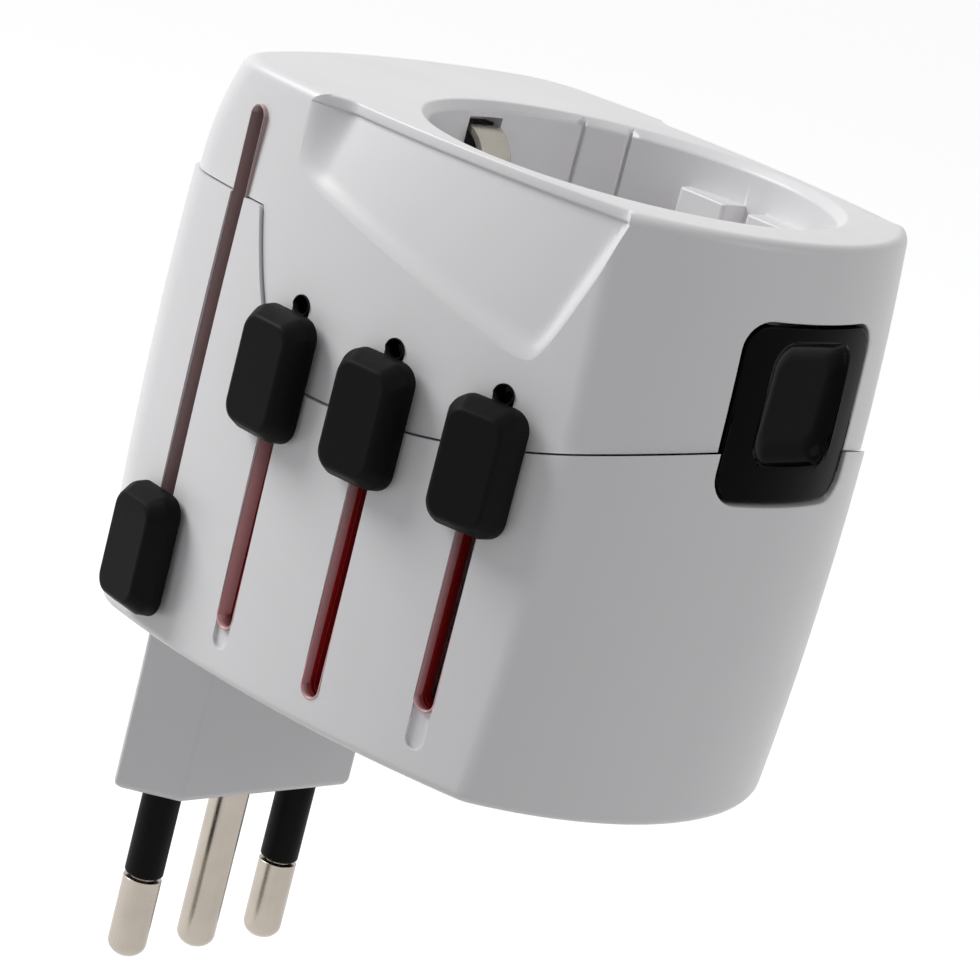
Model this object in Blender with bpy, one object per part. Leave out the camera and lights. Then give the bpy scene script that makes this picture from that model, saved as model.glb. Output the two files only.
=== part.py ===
"""Universal travel adapter: a two-shell barrel with an earthed socket on top and four slide-out plugs.

Metres, +Z up. The origin is the middle of the plug face, the flat underside that lies against the wall.
X runs along the slider side towards the release button, -Y is the slider side, and the in-line plug is out.
"""

import math

import bmesh
import bpy
from mathutils import Matrix, Vector

MM = 0.001

# Fits
GAP = 0.3 * MM
SLIDE_GAP = 0.35 * MM
OVERSHOOT = 3.0 * MM

# Housing
BODY_LENGTH = 67.4 * MM
BODY_DEPTH = 50.2 * MM
BODY_HEIGHT = 55.7 * MM
WIDEST_DROP = 25.7 * MM
END_TAPER = 1.2 * MM
SIDE_TAPER = 0.45 * MM
SIDE_RADIUS = 105.0 * MM
SIDE_CREST_FROM_PLUG_END = 29.7 * MM
BUTTON_END_FLATTER = 4.9 * MM
BUTTON_END_RADIUS = BODY_DEPTH / 2 + BUTTON_END_FLATTER
PLUG_END_RADIUS = 62.0 * MM
BUTTON_END_CORNER = 4.0 * MM
PLUG_END_CORNER = 8.0 * MM
EDGE_ROUND = 1.0 * MM
PLUG_END_TRIM = 2.4 * MM
PLUG_END_TRIM_DROP = 10.7 * MM
SIDE_WALL = 2.0 * MM
END_WALL = 3.0 * MM
FLOOR_WALL = 2.2 * MM
ROOF_WALL = 2.2 * MM

# Parting line between the two shells, seen from the slider side
PARTING_GAP = 0.3 * MM
PARTING_STEP = 0.4 * MM
PARTING_LOW_DROP = 26.5 * MM
PARTING_HIGH_DROP = 12.1 * MM
PARTING_LOW_FROM_PLUG_END = 30.7 * MM
PARTING_STEP_FROM_PLUG_END = 18.2 * MM
PARTING_END_RISE = 7.8 * MM
PARTING_STEP_POWER = 2.5

# Finger dish on both long sides
DISH_DEPTH = 3.0 * MM
DISH_RIGHT_DEPTH = 2.2 * MM
DISH_RUN_OUT = 0.1 * MM
DISH_LIP = 0.4 * MM
DISH_LIP_HEIGHT = 1.1 * MM
DISH_FROM_PLUG_END = 21.3 * MM
DISH_LEFT_DROP = 8.2 * MM
DISH_LEFT_WALL = 3.2 * MM
DISH_APEX_FROM_BUTTON_END = 13.7 * MM
DISH_APEX_DROP = 16.7 * MM
DISH_FROM_BUTTON_END = 8.0 * MM
DISH_RIGHT_WALL = 2.6 * MM
DISH_CORNER = 2.0 * MM
DISH_WALL = 1.6 * MM

# Socket well
SOCKET_FROM_PLUG_END = 40.2 * MM
SOCKET_DIAMETER = 39.0 * MM
SOCKET_DEPTH = 17.5 * MM
SOCKET_WALL = 1.0 * MM
SOCKET_FLOOR = 2.2 * MM
SOCKET_PITCH = 19.0 * MM
SOCKET_HOLE = 5.2 * MM
SOCKET_LIP = 0.8 * MM
GUIDE_RIB_WIDTH = 15.0 * MM
GUIDE_NOTCH_WIDTH = 2.6 * MM
GUIDE_RIB_REACH = 3.2 * MM
GUIDE_RIB_DROP = 4.0 * MM

# Earth bracket: one strip under the well's floor with a sprung clip up each end of the well
CLIP_WIDTH = 4.0 * MM
CLIP_SHEET = 0.8 * MM
CLIP_BULGE = 1.6 * MM
CLIP_BULGE_DROP = 7.0 * MM
CLIP_TOP_DROP = 2.4 * MM

# Socket contacts and the bars that feed them
CONTACT_BORE = 5.0 * MM
CONTACT_WALL = 0.8 * MM
CONTACT_FLANGE = 8.4 * MM
CONTACT_FLANGE_SHEET = 1.0 * MM
CONTACT_LENGTH = 14.0 * MM
CONTACT_SLIT = 1.0 * MM
CONTACT_SLIT_HEIGHT = 9.0 * MM
BUSBAR_SHEET = 0.8 * MM
BUSBAR_WIDTH = 3.2 * MM
BUSBAR_RING = 9.4 * MM
BUSBAR_FROM_PLUG_END = 16.2 * MM

# Slots and slide buttons, counted from the plug end
SLOT_PITCH = 12.3 * MM
SLOTS_FROM_PLUG_END = 32.95 * MM
SLOT_WIDTH = 2.3 * MM
SLOT_TOP_DROP = 17.9 * MM
SLOT_LIMIT = 0.3 * MM
RECESS_WIDTH = 2.1 * MM
RECESS_DEPTH = 0.7 * MM
KNOB_WIDTH = 8.0 * MM
KNOB_HEIGHT = 12.2 * MM
KNOB_FACE_WIDTH = 5.8 * MM
KNOB_FACE_HEIGHT = 10.0 * MM
KNOB_PROUD = 3.4 * MM
KNOB_SHOULDER = 1.8 * MM
KNOB_CORNER = 2.0 * MM
STEM_HEIGHT = 7.5 * MM
KNOB_REST_DROP = 25.5 * MM

# Guide panel behind the three short slots
PANEL_SHEET = 1.2 * MM
PANEL_FROM_PLUG_END = 21.2 * MM

# In-line plug: the one that is out
INLINE_FROM_PLUG_END = 9.3 * MM
INLINE_BLOCK_LENGTH = 33.2 * MM
INLINE_BLOCK_WIDTH = 10.0 * MM
INLINE_BLOCK_OUT = 19.5 * MM
INLINE_HEADROOM = 3.5 * MM
INLINE_BLOCK_EDGE = 0.9 * MM
INLINE_PITCH = 9.5 * MM
INLINE_PIN = 4.0 * MM
INLINE_PIN_CORE = 2.6 * MM
INLINE_PIN_DOME = 1.6 * MM
INLINE_PIN_LENGTH = 19.0 * MM
INLINE_PIN_ROOT = 9.0 * MM
INLINE_SLEEVE_LENGTH = 10.0 * MM
INLINE_SLEEVE_ROOT = 2.0 * MM
INLINE_KNOB_Z = 8.3 * MM
INLINE_SLOT_TOP_DROP = 3.4 * MM
LUG_WIDTH = 3.6 * MM
LUG_FROM_PLUG_END = 15.15 * MM
LUG_LOW = 4.5 * MM

# Plugs inside the housing: how far each comes down, and how its carriage is made
TIP_RECESS = 0.5 * MM
CARRIAGE_SHEET = 5.0 * MM
CARRIAGE_EDGE = 0.8 * MM
PIN_ROOT = 4.0 * MM
PIN_CHAMFER = 0.8 * MM
ARM_WIDTH = 3.6 * MM
FLAT_HEADROOM = 7.3 * MM
THICK_HEADROOM = 5.3 * MM
ANGLED_HEADROOM = 9.0 * MM

# Flat-blade plug with a round earth pin
FLAT_FROM_PLUG_END = 23.3 * MM
FLAT_Y = -7.5 * MM
FLAT_PITCH = 12.7 * MM
FLAT_EARTH_OFFSET = 11.9 * MM
FLAT_BLADE_SHEET = 1.5 * MM
FLAT_BLADE_WIDTH = 6.3 * MM
FLAT_BLADE_SHORTER = 3.2 * MM
FLAT_EARTH_PIN = 4.8 * MM

# Thick rectangular-pin plug
THICK_FROM_PLUG_END = 34.2 * MM
THICK_PITCH = 22.2 * MM
THICK_EARTH_OFFSET = 22.2 * MM
THICK_PIN_WIDTH = 6.4 * MM
THICK_PIN_SHEET = 4.0 * MM
THICK_EARTH_WIDTH = 8.0 * MM
THICK_PIN_SHORTER = 5.0 * MM
THICK_BAR_WIDTH = 5.2 * MM
THICK_BACK_BAR_Y = 13.4 * MM
THICK_BACK_BAR_WIDTH = 3.0 * MM
THICK_LEG_SHEET = 2.4 * MM
THICK_SLEEVE_LENGTH = 9.0 * MM
THICK_SLEEVE_WALL = 0.5 * MM

# Angled-blade plug
ANGLED_FROM_PLUG_END = 55.0 * MM
ANGLED_PITCH = 13.72 * MM
ANGLED_EARTH_OFFSET = 14.27 * MM
ANGLED_BLADE_SHEET = 1.6 * MM
ANGLED_BLADE_WIDTH = 6.35 * MM
ANGLED_TURN = math.radians(30.0)
ANGLED_SHORTER = 3.0 * MM
ANGLED_SPINE = 4.4 * MM

# Release button in the rounded end, with the lock bar and springs behind it
BUTTON_WIDTH = 17.2 * MM
BUTTON_LOW_DROP = 23.7 * MM
BUTTON_HIGH_DROP = 7.5 * MM
BUTTON_CORNER = 2.4 * MM
BUTTON_SHEET = 3.4 * MM
BUTTON_TRAVEL = 2.0 * MM
SCOOP_WIDTH = 9.4 * MM
SCOOP_DEPTH = 2.0 * MM
SCOOP_RISE = 3.4 * MM
SCOOP_CORNER = 1.6 * MM
LOCK_SHEET = 2.0 * MM
LOCK_WIDTH = 4.0 * MM
LOCK_DROP = 3.6 * MM
LOCK_FROM_PLUG_END = 20.2 * MM
SPRING_RADIUS = 1.4 * MM
SPRING_WIRE = 0.35 * MM
SPRING_TURNS = 5
SPRING_POINTS = 10
SPRING_Y = 6.0 * MM
SPRING_DROP = 1.9 * MM
SEAT_FROM_SOCKET = 15.5 * MM
SEAT_SHEET = 1.5 * MM
SEAT_WIDTH = 4.0 * MM

# Housing screws
SCREW_SHANK = 2.4 * MM
SCREW_HEAD = 4.4 * MM
SCREW_HEAD_HEIGHT = 1.6 * MM
SCREW_TOP_DROP = 2.5 * MM
SCREW_POST = 5.0 * MM
POST_SPLIT_DROP = 9.0 * MM
LEFT_SCREWS_FROM_PLUG_END = 20.7 * MM
RIGHT_SCREWS_FROM_PLUG_END = 44.7 * MM
FRONT_SCREWS_FROM_SIDE = 7.6 * MM
BACK_LEFT_SCREW_Y = 17.0 * MM
BACK_RIGHT_SCREW_Y = 19.2 * MM

# Facets
ARC_STEP = math.radians(12.0)
ROUND_SIDES = 24
POST_SIDES = 12
WELL_SIDES = 48
PARTING_POINTS = 28
BARREL_STEPS = 8
DISH_STEPS = 12

# Places along the housing that follow from its two ends
PLUG_END_X = -BODY_LENGTH / 2
BUTTON_END_X = BODY_LENGTH / 2
SIDE_CREST_X = PLUG_END_X + SIDE_CREST_FROM_PLUG_END
PARTING_LOW_X = PLUG_END_X + PARTING_LOW_FROM_PLUG_END
PARTING_STEP_X = PLUG_END_X + PARTING_STEP_FROM_PLUG_END
DISH_LEFT_X = PLUG_END_X + DISH_FROM_PLUG_END
DISH_APEX_X = BUTTON_END_X - DISH_APEX_FROM_BUTTON_END
DISH_RIGHT_X = BUTTON_END_X - DISH_FROM_BUTTON_END
SOCKET_X = PLUG_END_X + SOCKET_FROM_PLUG_END
BUSBAR_END_X = PLUG_END_X + BUSBAR_FROM_PLUG_END
SLOT_MIDDLE_X = PLUG_END_X + SLOTS_FROM_PLUG_END
PANEL_START_X = PLUG_END_X + PANEL_FROM_PLUG_END
LUG_RIGHT_X = PLUG_END_X + LUG_FROM_PLUG_END
FLAT_X = PLUG_END_X + FLAT_FROM_PLUG_END
THICK_X = PLUG_END_X + THICK_FROM_PLUG_END
ANGLED_X = PLUG_END_X + ANGLED_FROM_PLUG_END
LOCK_END_X = PLUG_END_X + LOCK_FROM_PLUG_END
SEAT_X = SOCKET_X + SEAT_FROM_SOCKET
SCREW_LEFT_X = PLUG_END_X + LEFT_SCREWS_FROM_PLUG_END
SCREW_RIGHT_X = PLUG_END_X + RIGHT_SCREWS_FROM_PLUG_END
INLINE_X = PLUG_END_X + INLINE_FROM_PLUG_END
BUTTON_BACK_X = BUTTON_END_X - BUTTON_SHEET
SCREW_FRONT_Y = FRONT_SCREWS_FROM_SIDE - BODY_DEPTH / 2
SCREW_PLACES = (
    (SCREW_LEFT_X, SCREW_FRONT_Y),
    (SCREW_RIGHT_X, SCREW_FRONT_Y),
    (SCREW_RIGHT_X, BACK_RIGHT_SCREW_Y),
    (SCREW_LEFT_X, BACK_LEFT_SCREW_Y),
)

# Heights that follow from the housing's top and from the underside of the socket well
TOP = BODY_HEIGHT
WELL_FLOOR = TOP - SOCKET_DEPTH
WELL_UNDER = WELL_FLOOR - SOCKET_FLOOR
WELL_RADIUS = SOCKET_DIAMETER / 2
WIDEST_HEIGHT = TOP - WIDEST_DROP
PARTING_LOW = TOP - PARTING_LOW_DROP
PARTING_HIGH = TOP - PARTING_HIGH_DROP
DISH_LEFT_Z = TOP - DISH_LEFT_DROP
DISH_APEX_Z = TOP - DISH_APEX_DROP
BUTTON_LOW = TOP - BUTTON_LOW_DROP
BUTTON_HIGH = TOP - BUTTON_HIGH_DROP
KNOB_REST_Z = TOP - KNOB_REST_DROP
SCREW_TOP = WELL_UNDER - SCREW_TOP_DROP
POST_SPLIT = WELL_UNDER - POST_SPLIT_DROP
SPRING_Z = WELL_UNDER - SPRING_DROP
LOCK_LOW = WELL_UNDER - LOCK_DROP

# Places and travels that follow from the fits
STEM_DEPTH = SIDE_WALL + PANEL_SHEET + 2 * GAP
STEM_WIDTH = SLOT_WIDTH - 2 * GAP
SLOT_X = [SLOT_MIDDLE_X + SLOT_PITCH * (i - 1.5) for i in range(4)]
INLINE_TRAVEL = INLINE_BLOCK_OUT + INLINE_PIN_LENGTH + TIP_RECESS
INLINE_BLOCK_IN = TOP - ROOF_WALL - INLINE_HEADROOM - INLINE_TRAVEL
CARRIAGE_LOW = FLOOR_WALL + GAP
CARRIAGE_REACH = WELL_UNDER - CARRIAGE_SHEET - CARRIAGE_LOW
FLAT_TRAVEL = CARRIAGE_REACH - FLAT_HEADROOM
THICK_TRAVEL = CARRIAGE_REACH - THICK_HEADROOM
ANGLED_TRAVEL = CARRIAGE_REACH - ANGLED_HEADROOM


def clear_scene():
    for obj in list(bpy.data.objects):
        bpy.data.objects.remove(obj, do_unlink=True)


def surface(name, colour, roughness, metallic=0.0):
    made = bpy.data.materials.new(name)
    made.use_nodes = True
    shader = made.node_tree.nodes["Principled BSDF"]
    shader.inputs["Base Color"].default_value = (*colour, 1.0)
    shader.inputs["Roughness"].default_value = roughness
    shader.inputs["Metallic"].default_value = metallic
    return made


# Building blocks


def mesh_object(name, bm, material, smooth_angle=32.0):
    """An object from a bmesh, with its faces turned outwards and its round parts shaded smooth."""
    bmesh.ops.remove_doubles(bm, verts=bm.verts, dist=1e-7)
    bmesh.ops.recalc_face_normals(bm, faces=bm.faces)
    mesh = bpy.data.meshes.new(name)
    bm.to_mesh(mesh)
    bm.free()
    mesh.shade_smooth()
    mesh.set_sharp_from_angle(angle=math.radians(smooth_angle))
    if material:
        mesh.materials.append(material)
    obj = bpy.data.objects.new(name, mesh)
    bpy.context.scene.collection.objects.link(obj)
    return obj


def boolean(target, tool, operation):
    """A Boolean step on the target, with the tool kept as a hidden wire object."""
    step = target.modifiers.new(f"{operation.lower()} {tool.name}", "BOOLEAN")
    step.operation = operation
    step.solver = "EXACT"
    step.object = tool
    tool.hide_render = True
    tool.display_type = "WIRE"


def cut(target, *tools):
    for tool in tools:
        boolean(target, tool, "DIFFERENCE")
    return target


def join(target, *tools):
    for tool in tools:
        boolean(target, tool, "UNION")
    return target


def loop_edges(bm, points):
    verts = [bm.verts.new(p) for p in points]
    return [bm.edges.new(pair) for pair in zip(verts, verts[1:] + verts[:1])]


def loft(name, rings, material=None):
    """A closed solid through rings of equally many points."""
    bm = bmesh.new()
    loops = [loop_edges(bm, ring) for ring in rings]
    for low, high in zip(loops, loops[1:]):
        bmesh.ops.bridge_loops(bm, edges=low + high)
    for end in (loops[0], loops[-1]):
        bmesh.ops.edgeloop_fill(bm, edges=end)
    bent = [face for face in bm.faces if len(face.verts) == 4]
    bmesh.ops.triangulate(bm, faces=bent)
    return mesh_object(name, bm, material)


def prism(name, outline, direction, material=None, place=None):
    """A closed outline of points in one plane, pushed along a direction and set in its place."""
    bm = bmesh.new()
    face = bm.faces.new([bm.verts.new(p) for p in outline])
    pushed = bmesh.ops.extrude_face_region(bm, geom=[face])
    moved = [item for item in pushed["geom"] if isinstance(item, bmesh.types.BMVert)]
    bmesh.ops.translate(bm, vec=Vector(direction), verts=moved)
    if place:
        bmesh.ops.transform(bm, matrix=place, verts=bm.verts)
    return mesh_object(name, bm, material)


def upright(name, outline, low, high, material=None):
    """A plan outline standing between two heights."""
    return prism(name, [(x, y, low) for x, y in outline], (0, 0, high - low), material)


def box(name, low, high, material=None):
    corners = [(low[0], low[1]), (high[0], low[1]), (high[0], high[1]), (low[0], high[1])]
    return upright(name, corners, low[2], high[2], material)


def turned(name, profile, place, material=None, sides=ROUND_SIDES):
    """A profile of (radius, height) points, spun upright; one that misses the axis is closed."""
    bm = bmesh.new()
    verts = [bm.verts.new((radius, 0, height)) for radius, height in profile]
    following = verts[1:] if profile[0][0] == 0 else verts[1:] + verts[:1]
    edges = [bm.edges.new(pair) for pair in zip(verts, following)]
    bmesh.ops.spin(bm, geom=verts + edges, cent=(0, 0, 0), axis=(0, 0, 1), angle=math.tau,
                   steps=sides, use_merge=True)
    bmesh.ops.translate(bm, vec=place, verts=bm.verts)
    return mesh_object(name, bm, material)


def cylinder(name, radius, low, high, x, y, material=None, sides=ROUND_SIDES):
    bm = bmesh.new()
    bmesh.ops.create_cone(bm, cap_ends=True, segments=sides, radius1=radius, radius2=radius,
                          depth=high - low)
    bmesh.ops.translate(bm, vec=(x, y, (low + high) / 2), verts=bm.verts)
    return mesh_object(name, bm, material)


def arc(centre, radius, start, end):
    """Points of an arc, both ends included."""
    steps = max(2, round(abs(end - start) / ARC_STEP))
    turns = [start + (end - start) * i / steps for i in range(steps + 1)]
    return [(centre[0] + radius * math.cos(t), centre[1] + radius * math.sin(t)) for t in turns]


def round_rectangle(width, height, radius, centre=(0.0, 0.0)):
    """A rectangle with round corners, counter-clockwise."""
    points = []
    for quarter, (sign_x, sign_y) in enumerate(((1, 1), (-1, 1), (-1, -1), (1, -1))):
        middle = (centre[0] + sign_x * (width / 2 - radius), centre[1] + sign_y * (height / 2 - radius))
        start = quarter * math.pi / 2
        points += [(middle[0] + radius * math.cos(start + i * math.pi / 8),
                    middle[1] + radius * math.sin(start + i * math.pi / 8)) for i in range(5)]
    return points


def rectangle(x, y, size_x, size_y, turn=0.0):
    """A rectangle's corners in plan, counter-clockwise, turned about its middle."""
    c, s = math.cos(turn), math.sin(turn)
    half_x, half_y = size_x / 2, size_y / 2
    corners = [(half_x, -half_y), (half_x, half_y), (-half_x, half_y), (-half_x, -half_y)]
    return [(x + c * a - s * b, y + s * a + c * b) for a, b in corners]


def circle(x, y, radius):
    turns = [math.tau * i / ROUND_SIDES for i in range(ROUND_SIDES)]
    return [(x + radius * math.cos(t), y + radius * math.sin(t)) for t in turns]


def outward(a, b):
    """The outward normal of one side of a counter-clockwise outline."""
    along = (Vector(b) - Vector(a)).normalized()
    return Vector((along.y, -along.x))


def grow(outline, by):
    """A counter-clockwise outline with each of its sides moved outwards."""
    grown = []
    for i, here in enumerate(outline):
        first = outward(outline[i - 1], here)
        second = outward(here, outline[(i + 1) % len(outline)])
        middle = (first + second).normalized()
        grown.append(tuple(Vector(here) + middle * (by / middle.dot(first))))
    return grown


def rings_of(outline, sections):
    """Rings of one outline at several heights, each drawn in by so much."""
    return [[(x, y, z) for x, y in grow(outline, -inset)] for z, inset in sections]


def ribbon(path, sheet):
    """The outline of a strip of even thickness along a bent path."""
    sides = [outward(a, b) for a, b in zip(path, path[1:])]
    left, right = [], []
    for i, point in enumerate(path):
        first = sides[max(i - 1, 0)]
        second = sides[min(i, len(sides) - 1)]
        middle = (first + second).normalized()
        reach = middle * (sheet / 2 / middle.dot(first))
        right.append(tuple(Vector(point) + reach))
        left.append(tuple(Vector(point) - reach))
    return right + left[::-1]


# The barrel's plan: two long side arcs, two end arcs and rounded corners between them


def circles_meet(centre_a, radius_a, centre_b, radius_b, to_right):
    """Where two circles meet, towards one end."""
    a, b = Vector(centre_a), Vector(centre_b)
    span = (b - a).length
    along = (radius_a**2 - radius_b**2 + span**2) / (2 * span)
    across = math.sqrt(radius_a**2 - along**2)
    axis = (b - a) / span
    normal = Vector((-axis.y, axis.x))
    found = [a + axis * along + normal * across, a + axis * along - normal * across]
    return max(found, key=lambda p: p.x) if to_right else min(found, key=lambda p: p.x)


def turn_of(centre, point):
    """The angle of a point about a centre, counted from 0 down to minus half a turn."""
    angle = math.atan2(point[1] - centre[1], point[0] - centre[0])
    return angle if angle <= 0 else angle - math.tau


def arc_run(count, centre, radius, start, end):
    """Points of an arc with its last one left out."""
    turns = [start + (end - start) * i / count for i in range(count)]
    return [(centre[0] + radius * math.cos(t), centre[1] + radius * math.sin(t)) for t in turns]


def button_corner(side_inset, end_inset):
    """Centre of the rounded corner between the slider side and the button end."""
    radius = max(BUTTON_END_CORNER - side_inset, EDGE_ROUND)
    side = (SIDE_CREST_X, SIDE_RADIUS - BODY_DEPTH / 2)
    end = (BUTTON_END_X - BUTTON_END_RADIUS, 0.0)
    end_radius = BUTTON_END_RADIUS - end_inset
    return circles_meet(side, SIDE_RADIUS - side_inset - radius, end, end_radius - radius, True)


def plan(side_inset, end_inset, trim=0.0):
    """The barrel's outline, drawn in by so much at its sides and ends, clockwise from the button end."""
    side = (SIDE_CREST_X, SIDE_RADIUS - BODY_DEPTH / 2)
    side_r = SIDE_RADIUS - side_inset
    right = (BUTTON_END_X - BUTTON_END_RADIUS, 0.0)
    right_r = BUTTON_END_RADIUS - end_inset
    left = (PLUG_END_X + PLUG_END_RADIUS + trim, 0.0)
    left_r = PLUG_END_RADIUS - end_inset
    round_r = max(BUTTON_END_CORNER - side_inset, EDGE_ROUND)
    round_l = max(PLUG_END_CORNER - side_inset, EDGE_ROUND)
    corner_r = button_corner(side_inset, end_inset)
    corner_l = circles_meet(side, side_r - round_l, left, left_r - round_l, False)
    side_start, side_end = turn_of(side, corner_r), turn_of(side, corner_l)
    half = arc_run(6, right, right_r, 0.0, turn_of(right, corner_r))
    half += arc_run(3, corner_r, round_r, turn_of(right, corner_r), side_start)
    half += arc_run(12, side, side_r, side_start, side_end)
    half += arc_run(4, corner_l, round_l, side_end, turn_of(left, corner_l))
    half += arc_run(4, left, left_r, turn_of(left, corner_l), -math.pi)
    half.append((left[0] - left_r, 0.0))
    return half + [(x, -y) for x, y in reversed(half[1:-1])]


def taper(z, amount):
    """How far the barrel draws in at a height, from its widest belt to its flat faces."""
    reach = WIDEST_HEIGHT if z < WIDEST_HEIGHT else TOP - WIDEST_HEIGHT
    return amount * ((z - WIDEST_HEIGHT) / reach) ** 2


def plug_end_trim(z):
    share = max(0.0, 1 - (TOP - z) / PLUG_END_TRIM_DROP)
    return PLUG_END_TRIM * share**2


def body_ring(z, inset=0.0):
    outline = plan(taper(z, SIDE_TAPER) + inset, taper(z, END_TAPER) + inset, plug_end_trim(z))
    return [(x, y, z) for x, y in outline]


def rim_rings(at_top, inset):
    """The rounded rim beside one flat face of the barrel, in rising order."""
    rings = []
    for share in (0.0, 0.3, 0.6):
        turn = share * math.pi / 2
        drop = EDGE_ROUND * (1 - math.cos(turn))
        edge = EDGE_ROUND * (1 - math.sin(turn))
        rings.append(body_ring(TOP - drop if at_top else drop, inset + edge))
    return rings[::-1] if at_top else rings


def barrel(name, low, high, material=None, inset=0.0):
    """The barrel between two heights, with a rounded rim where it reaches its own flat faces."""
    first = EDGE_ROUND if low <= 0 else low
    last = TOP - EDGE_ROUND if high >= TOP else high
    rings = rim_rings(False, inset) if low <= 0 else []
    rings += [body_ring(first + (last - first) * i / BARREL_STEPS, inset) for i in range(BARREL_STEPS + 1)]
    rings += rim_rings(True, inset) if high >= TOP else []
    return loft(name, rings, material)


def side_y(x, inset=0.0):
    """The slider side's y at a place along it, on the widest belt."""
    centre_y = SIDE_RADIUS - BODY_DEPTH / 2
    return centre_y - math.sqrt((SIDE_RADIUS - inset) ** 2 - (x - SIDE_CREST_X) ** 2)


def side_frame(x):
    """A frame on the slider side at a place along it, whose -Y points straight out of the surface."""
    turn = math.asin((x - SIDE_CREST_X) / SIDE_RADIUS)
    return Matrix.Translation((x, side_y(x), 0.0)) @ Matrix.Rotation(turn, 4, "Z")


def parting(x):
    """Height of the parting line: level at the plug end, a steep step down, then a slow rise."""
    if x < PARTING_STEP_X:
        return PARTING_HIGH
    if x < PARTING_LOW_X:
        share = (PARTING_LOW_X - x) / (PARTING_LOW_X - PARTING_STEP_X)
        return PARTING_LOW + (PARTING_HIGH - PARTING_LOW) * share**PARTING_STEP_POWER
    share = (x - PARTING_LOW_X) / (BUTTON_END_X - PARTING_LOW_X)
    return PARTING_LOW + PARTING_END_RISE * share**2


def parting_tool(name, shift, limit):
    """Everything on one side of the parting line, as a curtain across the barrel."""
    reach = BUTTON_END_X + OVERSHOOT
    xs = [PARTING_STEP_X + (reach - PARTING_STEP_X) * i / PARTING_POINTS for i in range(PARTING_POINTS + 1)]
    near = -BODY_DEPTH / 2 - OVERSHOOT
    edge = [(x, near, parting(x) + shift) for x in [-reach] + xs]
    outline = edge + [(reach, near, limit), (-reach, near, limit)]
    return prism(name, outline, (0, -2 * near, 0))


# Slots and slide buttons


def slot_low(i):
    """The lower end of a slot: where its button's stem stops when the plug is out."""
    travel = (0.0, FLAT_TRAVEL, THICK_TRAVEL, ANGLED_TRAVEL)[i]
    return knob_z(i) - travel - STEM_HEIGHT / 2 - SLOT_LIMIT


def slot_high(i):
    return TOP - (SLOT_TOP_DROP if i else INLINE_SLOT_TOP_DROP)


def knob_z(i):
    return INLINE_KNOB_Z if i == 0 else KNOB_REST_Z


def side_slot(name, i, low, high, depth, width=SLOT_WIDTH):
    """A cutter for a slot with round ends, straight into the slider side to a depth."""
    r = width / 2
    outline = arc((0.0, high - r), r, 0.0, math.pi) + arc((0.0, low + r), r, math.pi, math.tau)
    flat = [(x, -OVERSHOOT, z) for x, z in outline]
    return prism(name, flat, (0, depth + OVERSHOOT, 0), place=side_frame(SLOT_X[i]))


def slot_cutters(label, which, depth):
    return [side_slot(f"{label}_slot_{i + 1}", i, slot_low(i), slot_high(i), depth) for i in which]


def recess_cutters():
    """The shallow ends that carry two of the slots down level with the longest one."""
    lowest = min(slot_low(i) for i in (1, 2, 3))
    high = lowest + STEM_HEIGHT
    return [side_slot(f"recess_{i + 1}", i, lowest, high, RECESS_DEPTH, RECESS_WIDTH) for i in (1, 3)]


def slider_knob(i, material):
    """A slide button: a stepped, rounded cap on a stem that runs in its slot."""
    sections = ((GAP, KNOB_WIDTH, KNOB_HEIGHT, KNOB_CORNER),
                (KNOB_SHOULDER, KNOB_WIDTH - GAP, KNOB_HEIGHT - GAP, KNOB_CORNER),
                ((KNOB_SHOULDER + KNOB_PROUD) / 2 + GAP, (KNOB_WIDTH + KNOB_FACE_WIDTH) / 2 + GAP,
                 (KNOB_HEIGHT + KNOB_FACE_HEIGHT) / 2 + GAP, KNOB_CORNER),
                (KNOB_PROUD, KNOB_FACE_WIDTH, KNOB_FACE_HEIGHT, KNOB_CORNER / 2))
    frame = side_frame(SLOT_X[i])
    rings = []
    for proud, width, height, corner in sections:
        outline = round_rectangle(width, height, corner, (0.0, knob_z(i)))
        rings.append([frame @ Vector((x, -proud, z)) for x, z in outline])
    knob = loft(f"slider_knob_{i + 1}", rings, material)
    stem_outline = round_rectangle(STEM_WIDTH, STEM_HEIGHT, STEM_WIDTH / 2 - GAP, (0.0, knob_z(i)))
    start = -(GAP + KNOB_SHOULDER) / 2
    stem = prism(f"stem_{i + 1}", [(x, start, z) for x, z in stem_outline], (0, STEM_DEPTH - start, 0),
                 place=frame)
    return join(knob, stem)


def stem_end(i):
    """Where a stem's inner end lies in plan, and the y that clears all of it."""
    end = side_frame(SLOT_X[i]) @ Vector((0.0, STEM_DEPTH, 0.0))
    turn = math.asin((SLOT_X[i] - SIDE_CREST_X) / SIDE_RADIUS)
    return end.x, end.y + abs(math.sin(turn)) * STEM_WIDTH / 2


# Pins of the plugs that slide inside the housing: a label, the outline in plan and how much shorter it is

THICK_EARTH_X = THICK_X + THICK_EARTH_OFFSET
ANGLED_EARTH_X = ANGLED_X - ANGLED_EARTH_OFFSET


def flat_pins():
    sheet, width = FLAT_BLADE_SHEET, FLAT_BLADE_WIDTH
    left, right = FLAT_X - FLAT_PITCH / 2, FLAT_X + FLAT_PITCH / 2
    return (("live_blade", rectangle(left, FLAT_Y, sheet, width), FLAT_BLADE_SHORTER),
            ("neutral_blade", rectangle(right, FLAT_Y, sheet, width), FLAT_BLADE_SHORTER),
            ("earth_pin", circle(FLAT_X, FLAT_Y + FLAT_EARTH_OFFSET, FLAT_EARTH_PIN / 2), 0.0))


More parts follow.
